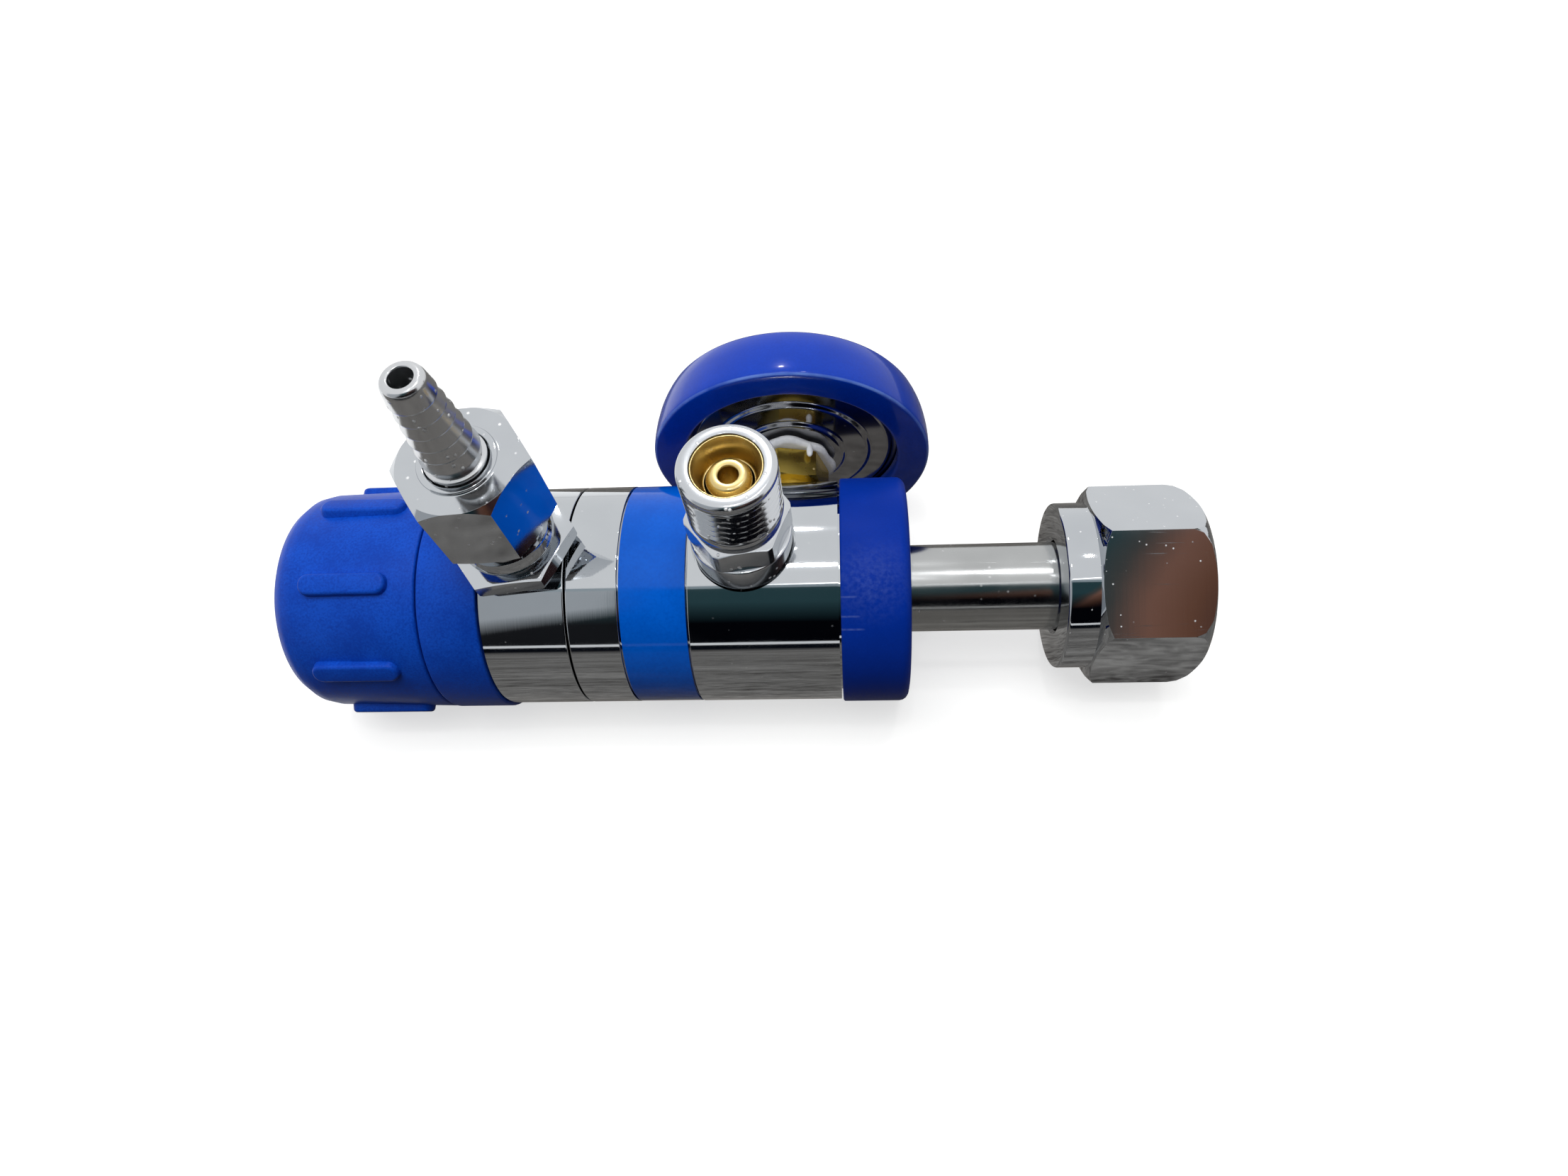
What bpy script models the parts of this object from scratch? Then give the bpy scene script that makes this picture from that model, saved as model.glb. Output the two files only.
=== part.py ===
"""Medical oxygen regulator, lying on its side with its gauge behind it.

The barrel lies along X, with the flow knob at the low end and the cylinder nut at the high end.
Lengths along the barrel are counted from the knob's end face. Each fitting that stands out of the
barrel is modelled in a frame of its own, whose Z axis leaves the barrel's axis, so that its
heights are distances from the barrel's axis.
"""
import math

import bmesh
import bpy
from mathutils import Matrix, Vector

MM = 0.001

# Clearances
SEAT_GAP = 0.3 * MM
PAPER_GAP = 0.15 * MM

# Facets round a turned piece
LARGE = 28
HEX_LARGE = 30
MEDIUM = 24
SMALL = 16
TINY = 12

# Barrel, from the knob to the cylinder nut
KNOB_LENGTH = 25.4 * MM
SKIRT_LENGTH = 9.6 * MM
HEAD_SHOWN = 13.8 * MM
BODY_LEAD = 8.4 * MM
LABEL_WIDTH = 10.4 * MM
BODY_SHOWN = 23.9 * MM
BUMPER_LENGTH = 10.8 * MM
STEM_SHOWN = 24.4 * MM
NUT_COLLAR_LENGTH = 4.9 * MM
NUT_HEX_LENGTH = 17.5 * MM
BARREL_RADIUS = 18.5 * MM
BARREL_CHAMFER = 0.4 * MM

# Flow knob
KNOB_RIM_RADIUS = 18.9 * MM
KNOB_END_RADIUS = 18.3 * MM
KNOB_CORNER = 5.2 * MM
KNOB_WALL = 2.4 * MM
KNOB_END_WALL = 3.0 * MM
KNOB_INNER_CORNER = 3.0 * MM
KNOB_HUB_WALL = 2.7 * MM
KNOB_HUB_LENGTH = 14.5 * MM
KNOB_SOCKET_FLOOR = 5.4 * MM
BAR_COUNT = 8
BAR_LENGTH = 14.7 * MM
BAR_WIDTH = 3.9 * MM
BAR_TOP_RADIUS = 19.9 * MM
BAR_DRAFT = 0.5 * MM
BAR_FROM_SEAM = 4.1 * MM
KNOB_CLOCK = 29.4
SCREW_HEAD_RADIUS = 3.2 * MM
SCREW_HEAD_LENGTH = 1.8 * MM
SCREW_SHANK_RADIUS = 1.1 * MM
SCREW_LENGTH = 12.0 * MM
SCREW_SINK = 0.7 * MM

# Spindle, detent and flow disc
SPINDLE_RADIUS = 3.0 * MM
SPINDLE_FLANGE_RADIUS = 4.6 * MM
SPINDLE_FLANGE_LENGTH = 1.5 * MM
SPINDLE_BORE_DEPTH = 9.0 * MM
HEAD_NOSE_RADIUS = 9.0 * MM
DETENT_RING_THICKNESS = 2.0 * MM
DETENT_RING_BORE = 9.7 * MM
DETENT_COUNT = 12
DETENT_RADIUS = 12.9 * MM
DETENT_DEPTH = 0.6 * MM
BALL_RADIUS = 1.6 * MM
BALL_SHOWS = 0.6 * MM
BALL_HOLE_DEPTH = 9.0 * MM
FLOW_DISC_RADIUS = 9.6 * MM
FLOW_DISC_THICKNESS = 2.5 * MM
FLOW_HOLE_RADIUS = 0.6 * MM
FLOW_HOLE_CIRCLE = 7.0 * MM
FLOW_POCKET_DEPTH = 2.5 * MM
SPINDLE_SEAL_FROM_NOSE = 14.0 * MM
SEAL_RADIUS = 0.85 * MM

# Skirt, seats and barrel bores
SKIRT_RADIUS = 19.0 * MM
SKIRT_WALL = 1.6 * MM
SPIGOT_LENGTH = 6.0 * MM
PISTON_BORE_RADIUS = 14.0 * MM
LABEL_DEPTH = 0.65 * MM
LABEL_THICKNESS = 0.45 * MM
BUMPER_RADIUS = 18.9 * MM
BUMPER_WALL = 1.8 * MM
BUMPER_CORNER = 1.3 * MM
BUMPER_HOLE_RADIUS = 8.6 * MM
STEM_SOCKET_DEPTH = 9.0 * MM
VALVE_CHAMBER_RADIUS = 5.5 * MM
NOZZLE_RADIUS = 1.6 * MM
NOZZLE_LENGTH = 2.3 * MM
CHAMBER_BEFORE_GAUGE = 1.7 * MM

# Piston, springs and valve
SPRING_PLATE_THICKNESS = 1.6 * MM
SPRING_PLATE_HOLE = 3.5 * MM
PISTON_LENGTH = 8.0 * MM
PISTON_CUP_RADIUS = 10.8 * MM
PISTON_FLOOR = 2.2 * MM
PISTON_TO_WEB = 11.2 * MM
PISTON_PIN_RADIUS = 1.0 * MM
PISTON_GROOVE_FROM_BACK = 2.6 * MM
REGULATING_SPRING_RADIUS = 9.0 * MM
REGULATING_WIRE = 1.1 * MM
REGULATING_TURNS = 3.2
VALVE_RADIUS = 3.0 * MM
VALVE_LENGTH = 4.0 * MM
VALVE_TIP_RADIUS = 1.2 * MM
VALVE_TIP_LENGTH = 2.0 * MM
VALVE_LIFT = 0.9 * MM
VALVE_SPRING_RADIUS = 3.6 * MM
VALVE_WIRE = 0.4 * MM
VALVE_TURNS = 4.0

# Inlet stem and cylinder nut
STEM_RADIUS = 7.35 * MM
STEM_BORE_RADIUS = 2.0 * MM
STEM_SHOULDER_RADIUS = 11.0 * MM
STEM_SHOULDER_LENGTH = 3.2 * MM
NOSE_RADIUS = 7.2 * MM
NOSE_TIP_RADIUS = 4.8 * MM
NOSE_BEHIND_NUT = 6.5 * MM
FILTER_RADIUS = 3.1 * MM
FILTER_LENGTH = 3.4 * MM
NUT_COLLAR_RADIUS = 13.8 * MM
NUT_ACROSS_FLATS = 28.6 * MM
NUT_BORE_RADIUS = 11.6 * MM
NUT_END_WALL = 7.0 * MM
NUT_FACE_ROUNDING = 3.7 * MM
NUT_BACK_CHAMFER = 1.6 * MM
NUT_CLOCK = 36.9

# Threaded outlet
OUTLET_AFTER_LABEL = 8.95 * MM
OUTLET_TIP = 39.2 * MM
OUTLET_COLLAR_RADIUS = 7.85 * MM
OUTLET_COLLAR_TOP = 21.9 * MM
OUTLET_HEX_TOP = 26.9 * MM
OUTLET_ACROSS_FLATS = 14.29 * MM
OUTLET_CORNER_RADIUS = 8.0 * MM
OUTLET_NECK_RADIUS = 6.3 * MM
OUTLET_NECK_TOP = 28.3 * MM
OUTLET_THREAD_RADIUS = 7.14 * MM
OUTLET_BORE_RADIUS = 5.2 * MM
OUTLET_BORE_DEPTH = 9.0 * MM
OUTLET_SPIGOT_RADIUS = 5.0 * MM
OUTLET_PASSAGE_RADIUS = 2.4 * MM
OUTLET_HEX_TURN = 9.0
POPPET_RADIUS = 3.3 * MM
POPPET_HOLE_RADIUS = 1.4 * MM
POPPET_LENGTH = 7.0 * MM
POPPET_BELOW_TIP = 2.2 * MM
POPPET_SPRING_RADIUS = 2.7 * MM
POPPET_WIRE = 0.35 * MM
POPPET_TURNS = 5.0
POPPET_CHAMBER = 10.0 * MM
FUNNEL_BELOW_TIP = 0.7 * MM
FUNNEL_DEPTH = 3.3 * MM

# Barbed outlet
BARB_AFTER_SKIRT = 6.0 * MM
BARB_ROLL = 0.6
BARB_FLANGE_BOTTOM = 19.6 * MM
BARB_FLANGE_TOP = 22.7 * MM
BARB_FLANGE_FLATS = 17.5 * MM
BARB_FLANGE_TURN = 7.0
BARB_SPIGOT_RADIUS = 4.8 * MM
BARB_SPIGOT_END = 12.2 * MM
BARB_PASSAGE_RADIUS = 1.6 * MM
BARB_NECK_RADIUS = 6.6 * MM
BARB_THREAD_RADIUS = 5.5 * MM
BARB_NUT_BACK = 29.0 * MM
BARB_NUT_FRONT = 43.0 * MM
BARB_NUT_FLATS = 17.0 * MM
BARB_NUT_TURN = 3.9
BARB_NUT_WALL = 2.9 * MM
BARB_RADIUS = 4.3 * MM
BARB_TIP_RADIUS = 2.95 * MM
BARB_TIP = 60.7 * MM
BARB_SHOULDER_LENGTH = 2.6 * MM
BARB_RING_COUNT = 6
BARB_RING_DEPTH = 0.4 * MM
BARB_PLAIN = 2.2 * MM

# Gauge
GAUGE_AFTER_LABEL = 15.05 * MM
GAUGE_SPIGOT_RADIUS = 4.6 * MM
GAUGE_SPIGOT_END = 11.3 * MM
GAUGE_DRILL_RADIUS = 1.2 * MM
GAUGE_HEX_BOTTOM = 19.8 * MM
GAUGE_HEX_TOP = 25.1 * MM
GAUGE_ACROSS_FLATS = 12.0 * MM
GAUGE_HEX_TURN = 12.9
GAUGE_NECK_RADIUS = 4.0 * MM
BOOT_BACK = 26.5 * MM
BOOT_DEPTH = 11.2 * MM
BOOT_RADIUS = 25.05 * MM
BOOT_BACK_CORNER = 0.7 * MM
BOOT_FRONT_CORNER = 3.0 * MM
BOOT_WALL = 2.8 * MM
BOOT_FRONT_LIP = 2.0 * MM
CASE_BACK = 27.5 * MM
CASE_STEP = 0.7 * MM
CASE_SHEET = 0.8 * MM
CASE_INNER_STEP_RADIUS = 9.3 * MM
CASE_OUTER_STEP_RADIUS = 13.9 * MM
CASE_RIM_STEP_RADIUS = 17.9 * MM
BOOT_OPENING_RADIUS = CASE_RIM_STEP_RADIUS + CASE_STEP + SEAT_GAP
LENS_THICKNESS = 1.4 * MM
DIAL_THICKNESS = 0.5 * MM
DIAL_BELOW_LENS = 1.9 * MM
POINTER_LENGTH = 14.0 * MM
POINTER_TAIL = 5.0 * MM
POINTER_HUB_RADIUS = 1.7 * MM
POINTER_TAIL_WIDTH = 1.8 * MM
POINTER_HUB_WIDTH = 1.4 * MM
POINTER_TIP_WIDTH = 0.24 * MM
POINTER_THICKNESS = 0.4 * MM
POINTER_SHAFT_RADIUS = 0.6 * MM
POINTER_ZERO = 45.0
MOVEMENT_RADIUS = 5.0 * MM
MOVEMENT_THICKNESS = 1.2 * MM
TUBE_RADIUS = 0.9 * MM
TUBE_CIRCLE = 13.2 * MM
SEALANT_RADIUS = 7.5 * MM
SEALANT_THICKNESS = 1.3 * MM
DRIP_RADIUS = 0.55 * MM
DRIP_LENGTH = 2.2 * MM

# Stations along the barrel
SKIRT_START = KNOB_LENGTH + SEAT_GAP
SKIRT_END = SKIRT_START + SKIRT_LENGTH
HEAD_END = SKIRT_END + HEAD_SHOWN
BODY_START = HEAD_END + SEAT_GAP
LABEL_START = BODY_START + BODY_LEAD
LABEL_END = LABEL_START + LABEL_WIDTH
BUMPER_START = LABEL_END + BODY_SHOWN
BUMPER_END = BUMPER_START + BUMPER_LENGTH
NUT_START = BUMPER_END + STEM_SHOWN
NUT_HEX_START = NUT_START + NUT_COLLAR_LENGTH
NUT_END = NUT_HEX_START + NUT_HEX_LENGTH
BARB_STATION = SKIRT_END + BARB_AFTER_SKIRT
OUTLET_STATION = LABEL_END + OUTLET_AFTER_LABEL
GAUGE_STATION = LABEL_END + GAUGE_AFTER_LABEL

HEAD_SHOULDER = SKIRT_START + SEAT_GAP
HEAD_SEAT_RADIUS = SKIRT_RADIUS - SKIRT_WALL - SEAT_GAP
HEAD_NOSE = KNOB_HUB_LENGTH + 2 * SEAT_GAP
SPINDLE_START = KNOB_SOCKET_FLOOR + SEAT_GAP
SPIGOT_END = HEAD_END + SPIGOT_LENGTH
POCKET_FLOOR = HEAD_END - FLOW_POCKET_DEPTH
POCKET_RADIUS = FLOW_DISC_RADIUS + SEAT_GAP
FLOW_DISC_START = POCKET_FLOOR + SEAT_GAP
FLOW_DISC_END = FLOW_DISC_START + FLOW_DISC_THICKNESS
BODY_END = BUMPER_END - BUMPER_WALL - SEAT_GAP
BODY_TENON_RADIUS = BUMPER_RADIUS - BUMPER_WALL - SEAT_GAP
STEM_SOCKET_FLOOR = BODY_END - STEM_SOCKET_DEPTH
STEM_START = STEM_SOCKET_FLOOR + SEAT_GAP
NOZZLE_END = GAUGE_STATION - CHAMBER_BEFORE_GAUGE
NOZZLE_START = NOZZLE_END - NOZZLE_LENGTH
PISTON_END = NOZZLE_START - PISTON_TO_WEB
PISTON_START = PISTON_END - PISTON_LENGTH
PLATE_START = SPIGOT_END + SEAT_GAP
PLATE_END = PLATE_START + SPRING_PLATE_THICKNESS
VALVE_TIP = NOZZLE_END + VALVE_LIFT - VALVE_TIP_LENGTH
VALVE_END = NOZZLE_END + VALVE_LIFT + VALVE_LENGTH
NUT_CAVITY = NUT_START + NUT_END_WALL
NOSE_END = NUT_END - NOSE_BEHIND_NUT


def material(name, colour, roughness, metallic=0.0, alpha=1.0):
    """A Principled material with one colour."""
    made = bpy.data.materials.new(name)
    made.use_nodes = True
    shader = made.node_tree.nodes["Principled BSDF"]
    shader.inputs["Base Color"].default_value = (*colour, 1.0)
    shader.inputs["Roughness"].default_value = roughness
    shader.inputs["Metallic"].default_value = metallic
    shader.inputs["Alpha"].default_value = alpha
    return made


def arc(centre, radius, start, end, steps):
    """Points of an arc in the (distance, radius) plane, with the angles in degrees."""
    points = []
    for step in range(steps + 1):
        angle = math.radians(start + (end - start) * step / steps)
        points.append((centre[0] + radius * math.cos(angle), centre[1] + radius * math.sin(angle)))
    return points


def finish(name, shape, look, parent=None):
    """Turn a bmesh into a named, smooth-shaded object under its parent, with its faces out."""
    bmesh.ops.recalc_face_normals(shape, faces=shape.faces)
    if shape.calc_volume(signed=True) < 0:
        bmesh.ops.reverse_faces(shape, faces=shape.faces)
    mesh = bpy.data.meshes.new(name)
    shape.to_mesh(mesh)
    shape.free()
    mesh.shade_smooth()
    mesh.set_sharp_from_angle(angle=math.radians(30))
    made = bpy.data.objects.new(name, mesh)
    bpy.context.scene.collection.objects.link(made)
    if look is not None:
        mesh.materials.append(look)
    made.parent = parent
    return made


def turned_shape(outline, facets, flats=None):
    """Spin an outline of (distance, radius) points about Z, and mill a hexagon on it.

    flats is (distance across the flats, from, to): each point between these distances along the
    axis is drawn in to the hexagon, so that its turned chamfers meet the flats in curves.
    An outline whose ends lie on the axis is solid there, and any other is a closed ring.
    """
    shape = bmesh.new()
    points = [shape.verts.new((radius, 0, distance)) for distance, radius in outline]
    edges = [shape.edges.new(pair) for pair in zip(points, points[1:])]
    if outline[0][1] > 0:
        edges.append(shape.edges.new((points[-1], points[0])))
    bmesh.ops.spin(shape, geom=points + edges, cent=(0, 0, 0), axis=(0, 0, 1),
                   angle=math.tau, steps=facets, use_merge=True, use_duplicate=False)
    bmesh.ops.remove_doubles(shape, verts=shape.verts, dist=0.001 * MM)
    if flats:
        across, low, high = flats
        for point in shape.verts:
            reach = point.co.xy.length
            if low <= point.co.z <= high and reach > 0:
                sixth = math.tau / 6
                angle = math.atan2(point.co.y, point.co.x) % sixth - sixth / 2
                limit = across / 2 / math.cos(angle)
                if reach > limit:
                    point.co.x *= limit / reach
                    point.co.y *= limit / reach
    return shape


def turned(name, outline, look, parent, facets=MEDIUM, flats=None, turn=0.0):
    """A turned piece on its parent's Z axis, turned by some degrees about it."""
    shape = turned_shape(outline, facets, flats)
    bmesh.ops.rotate(shape, verts=shape.verts, cent=(0, 0, 0),
                     matrix=Matrix.Rotation(math.radians(turn), 3, "Z"))
    return finish(name, shape, look, parent)


def along_barrel(name, outline, look, parent, facets=LARGE, flats=None, turn=0.0):
    """A turned piece on the barrel's axis, whose outline counts along X."""
    shape = turned_shape(outline, facets, flats)
    bmesh.ops.rotate(shape, verts=shape.verts, cent=(0, 0, 0),
                     matrix=Matrix.Rotation(math.radians(turn), 3, "Z"))
    for point in shape.verts:
        point.co = Vector((point.co.z, point.co.x, point.co.y))
    return finish(name, shape, look, parent)


def combine(target, tool, operation):
    """Cut or join one mesh with another in the same frame, and remove the other."""
    modifier = target.modifiers.new("combine", "BOOLEAN")
    modifier.operation = operation
    modifier.object = tool
    modifier.solver = "EXACT"
    bpy.context.view_layer.update()
    graph = bpy.context.evaluated_depsgraph_get()
    result = bpy.data.meshes.new_from_object(target.evaluated_get(graph))
    target.modifiers.clear()
    worn = target.data
    result.name = worn.name
    target.data = result
    bpy.data.meshes.remove(worn)
    bpy.data.objects.remove(tool)


def drill(target, frame, outline, facets=MEDIUM):
    """Cut a turned hole into a barrel piece along a fitting's Z axis."""
    shape = turned_shape(outline, facets)
    bmesh.ops.transform(shape, verts=shape.verts, matrix=frame)
    combine(target, finish("drill", shape, None), "DIFFERENCE")


def swept(name, points, radius, sides, look, parent):
    """A round wire along a list of points, with closed ends."""
    curve = bpy.data.curves.new(name, "CURVE")
    curve.dimensions = "3D"
    curve.bevel_depth = radius
    curve.bevel_resolution = (sides - 4) // 2
    curve.use_fill_caps = True
    line = curve.splines.new("POLY")
    line.points.add(len(points) - 1)
    for place, point in zip(line.points, points):
        place.co = (*point, 1.0)
    guide = bpy.data.objects.new(name, curve)
    bpy.context.scene.collection.objects.link(guide)
    bpy.context.view_layer.update()
    graph = bpy.context.evaluated_depsgraph_get()
    shape = bmesh.new()
    shape.from_mesh(bpy.data.meshes.new_from_object(guide.evaluated_get(graph)))
    bpy.data.objects.remove(guide)
    bmesh.ops.remove_doubles(shape, verts=shape.verts, dist=0.001 * MM)
    return finish(name, shape, look, parent)


def coil(start, end, radius, wire, turns, steps_per_turn):
    """Points of a coil spring about Z, whose wire fills the space from start to end."""
    low = start + wire
    high = end - wire
    points = []
    steps = round(turns * steps_per_turn)
    for step in range(steps + 1):
        angle = math.tau * turns * step / steps
        height = low + (high - low) * step / steps
        points.append((radius * math.cos(angle), radius * math.sin(angle), height))
    return points


def lay_along_x(points):
    """The same points with Z laid along the barrel."""
    return [(z, x, y) for x, y, z in points]


def ring_seal(centre, inner, outer):
    """The outline of an O-ring between two radii, centred at a distance along the axis."""
    section = (outer - inner) / 2
    return arc((centre, (inner + outer) / 2), section, 0, 300, 5)


def shared_empty(name, parent, place, roll):
    """An empty on the barrel's axis, with its Z axis turned about X by an angle in radians."""
    made = bpy.data.objects.new(name, None)
    bpy.context.scene.collection.objects.link(made)
    made.parent = parent
    made.location = (place, 0, 0)
    made.rotation_euler = (roll, 0, 0)
    return made


def fitting_frame(place, roll):
    """The matrix of such an empty in the barrel's frame."""
    return Matrix.Translation((place, 0, 0)) @ Matrix.Rotation(roll, 4, "X")


def bar_angles():
    """Angles of the knob's grip bars about X, counted from straight up, in radians."""
    return [math.radians(KNOB_CLOCK + 360 / BAR_COUNT * index) for index in range(BAR_COUNT)]


def rest_height():
    """Height of the barrel's axis when the knob lies on its lowest grip bar."""
    half_top = BAR_WIDTH / 2 - BAR_DRAFT
    lowest = KNOB_RIM_RADIUS
    for angle in bar_angles():
        drop = math.cos(math.pi - angle) * BAR_TOP_RADIUS + abs(math.sin(math.pi - angle)) * half_top
        lowest = max(lowest, drop)
    return lowest


def boot_outer():
    """Outside of the gauge boot, from its back opening to its front lip."""
    front = BOOT_BACK + BOOT_DEPTH
    back_corner = BOOT_BACK_CORNER
    front_corner = BOOT_FRONT_CORNER
    points = [(BOOT_BACK + 0.5 * MM, BOOT_OPENING_RADIUS), (BOOT_BACK, BOOT_OPENING_RADIUS + 0.5 * MM)]
    points += arc((BOOT_BACK + back_corner, BOOT_RADIUS - back_corner), back_corner, 180, 90, 2)
    points += arc((front - front_corner, BOOT_RADIUS - front_corner), front_corner, 90, 0, 4)
    return points


def gauge_lean():
    """Angle of the gauge's axis above the floor, so that knob and boot both touch it."""
    height = rest_height()
    leans = []
    for distance, radius in boot_outer():
        reach = math.hypot(distance, radius)
        leans.append(math.acos(height / reach) - math.atan2(distance, radius))
    return max(leans)


def build_knob(top, blue):
    """The moulded cup with its hub and its long obround grip bars."""
    inner = KNOB_RIM_RADIUS - KNOB_WALL
    socket = SPINDLE_RADIUS + SEAT_GAP
    recess = SCREW_HEAD_RADIUS + 2 * SEAT_GAP
    recess_floor = SCREW_SINK + SCREW_HEAD_LENGTH + SEAT_GAP
    outline = [(0, recess)]
    outline += arc((KNOB_CORNER, KNOB_END_RADIUS - KNOB_CORNER), KNOB_CORNER, 180, 90, 5)
    outline += [
        (KNOB_LENGTH - 0.4 * MM, KNOB_RIM_RADIUS),
        (KNOB_LENGTH, KNOB_RIM_RADIUS - 0.4 * MM),
        (KNOB_LENGTH, inner),
        (KNOB_END_WALL + KNOB_INNER_CORNER / 2, inner),
        (KNOB_END_WALL, inner - KNOB_INNER_CORNER),
        (KNOB_END_WALL, socket + KNOB_HUB_WALL),
        (KNOB_HUB_LENGTH, socket + KNOB_HUB_WALL),
        (KNOB_HUB_LENGTH, socket),
        (KNOB_SOCKET_FLOOR, socket),
        (KNOB_SOCKET_FLOOR, SCREW_SHANK_RADIUS + SEAT_GAP),
        (recess_floor, SCREW_SHANK_RADIUS + SEAT_GAP),
        (recess_floor, recess),
    ]
    knob = along_barrel("flow_knob", outline, blue, top)
    for angle in bar_angles():
        combine(knob, grip_bar(angle), "UNION")
    knob.data.shade_smooth()
    knob.data.set_sharp_from_angle(angle=math.radians(30))
    return knob


def grip_bar(angle):
    """One obround bar with drafted sides, standing on the knob at an angle about X."""
    middle = KNOB_LENGTH - BAR_FROM_SEAM - BAR_LENGTH / 2
    root = KNOB_END_RADIUS - KNOB_WALL / 2
    shape = bmesh.new()
    rings = []
    levels = [(root, 0.0), (BAR_TOP_RADIUS - 0.45 * MM, 0.1 * MM), (BAR_TOP_RADIUS, BAR_DRAFT)]
    for radius, inset in levels:
        half = BAR_WIDTH / 2
        straight = BAR_LENGTH / 2 - half
        ring = []
        for side in (1, -1):
            for step in range(6):
                turn = math.radians(-90 + 180 * step / 5)
                along = side * (straight + (half - inset) * math.cos(turn))
                across = side * (half - inset) * math.sin(turn)
                ring.append(shape.verts.new((middle + along, across, radius)))
        rings.append(ring)
    count = len(rings[0])
    for lower, upper in zip(rings, rings[1:]):
        for index in range(count):
            follower = (index + 1) % count
            shape.faces.new((lower[index], lower[follower], upper[follower], upper[index]))
    shape.faces.new(rings[0])
    shape.faces.new(rings[-1])
    bmesh.ops.rotate(shape, verts=shape.verts, cent=(0, 0, 0), matrix=Matrix.Rotation(angle, 3, "X"))
    return finish("grip_bar", shape, None)


def build_spindle(top, looks):
    """The knob's screw, spindle, O-ring and flow disc, with a hole for each click but the off one."""
    spindle_end = FLOW_DISC_END + SEAT_GAP + SPINDLE_FLANGE_LENGTH
    bore = SCREW_SHANK_RADIUS + SEAT_GAP
    outline = [
        (SPINDLE_START + SPINDLE_BORE_DEPTH, 0), (SPINDLE_START + SPINDLE_BORE_DEPTH, bore),
        (SPINDLE_START, bore), (SPINDLE_START, SPINDLE_RADIUS),
        (FLOW_DISC_END + SEAT_GAP, SPINDLE_RADIUS), (FLOW_DISC_END + SEAT_GAP, SPINDLE_FLANGE_RADIUS),
        (spindle_end, SPINDLE_FLANGE_RADIUS), (spindle_end, 0),
    ]
    along_barrel("knob_spindle", outline, looks["brass"], top, TINY)
    head_end = SCREW_SINK + SCREW_HEAD_LENGTH
    outline = [
        (SCREW_SINK, 0), (SCREW_SINK, SCREW_HEAD_RADIUS - 0.4 * MM),
        (SCREW_SINK + 0.4 * MM, SCREW_HEAD_RADIUS), (head_end, SCREW_HEAD_RADIUS),
        (head_end, SCREW_SHANK_RADIUS), (SCREW_SINK + SCREW_LENGTH, SCREW_SHANK_RADIUS),
        (SCREW_SINK + SCREW_LENGTH, 0),
    ]
    along_barrel("knob_screw", outline, looks["steel"], top, TINY)
    seal_place = HEAD_NOSE + SPINDLE_SEAL_FROM_NOSE
    seal_inner = SPINDLE_RADIUS + SEAT_GAP
    along_barrel("spindle_seal", ring_seal(seal_place, seal_inner, seal_inner + 2 * SEAL_RADIUS),
                 looks["rubber"], top, TINY)
    outline = [
        (FLOW_DISC_START, SPINDLE_RADIUS + SEAT_GAP), (FLOW_DISC_START, FLOW_DISC_RADIUS),
        (FLOW_DISC_END, FLOW_DISC_RADIUS), (FLOW_DISC_END, SPINDLE_RADIUS + SEAT_GAP),
    ]
    disc = along_barrel("flow_disc", outline, looks["brass"], top, SMALL)
    for index in range(1, DETENT_COUNT):
        frame = Matrix.Rotation(math.tau * index / DETENT_COUNT, 4, "X")
        frame = frame @ Matrix.Translation((0, FLOW_HOLE_CIRCLE, 0)) @ Matrix.Rotation(math.pi / 2, 4, "Y")
        drill(disc, frame, [
            (FLOW_DISC_START - SEAT_GAP, 0), (FLOW_DISC_START - SEAT_GAP, FLOW_HOLE_RADIUS),
            (FLOW_DISC_END + SEAT_GAP, FLOW_HOLE_RADIUS), (FLOW_DISC_END + SEAT_GAP, 0),
        ], 6)


def build_detent(top, looks):
    """The dimpled ring in the knob, and the ball and spring that click into it."""
    ring_end = HEAD_SHOULDER - BALL_SHOWS - SEAT_GAP
    ring_start = ring_end - DETENT_RING_THICKNESS
    outer = KNOB_RIM_RADIUS - KNOB_WALL - SEAT_GAP
    outline = [
        (ring_start, DETENT_RING_BORE), (ring_start, outer), (ring_end, outer), (ring_end, DETENT_RING_BORE),
    ]
    ring = along_barrel("detent_ring", outline, looks["nylon"], top, SMALL)
    dimple = BALL_RADIUS * 0.8
    for index in range(DETENT_COUNT):
        frame = Matrix.Rotation(math.tau * index / DETENT_COUNT, 4, "X")
        frame = frame @ Matrix.Translation((0, DETENT_RADIUS, 0)) @ Matrix.Rotation(math.pi / 2, 4, "Y")
        drill(ring, frame, [
            (ring_end - DETENT_DEPTH, 0), (ring_end + DETENT_DEPTH, 2 * dimple), (ring_end + DETENT_DEPTH, 0),
        ], 6)
    ball_place = HEAD_SHOULDER - BALL_SHOWS + BALL_RADIUS
    shape = bmesh.new()
    bmesh.ops.create_uvsphere(shape, u_segments=TINY, v_segments=8, radius=BALL_RADIUS)
    bmesh.ops.rotate(shape, verts=shape.verts, cent=(0, 0, 0), matrix=Matrix.Rotation(math.pi / 2, 3, "Y"))
    ball = finish("detent_ball", shape, looks["steel"], top)
    ball.location = (ball_place, DETENT_RADIUS, 0)
    spring_start = ball_place + BALL_RADIUS + SEAT_GAP
    spring_end = HEAD_SHOULDER + BALL_HOLE_DEPTH - SEAT_GAP
    points = lay_along_x(coil(spring_start, spring_end, BALL_RADIUS - 0.4 * MM, 0.25 * MM, 4, 8))
    spring = swept("detent_spring", points, 0.25 * MM, 4, looks["spring"], top)
    spring.location = (0, DETENT_RADIUS, 0)


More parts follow.
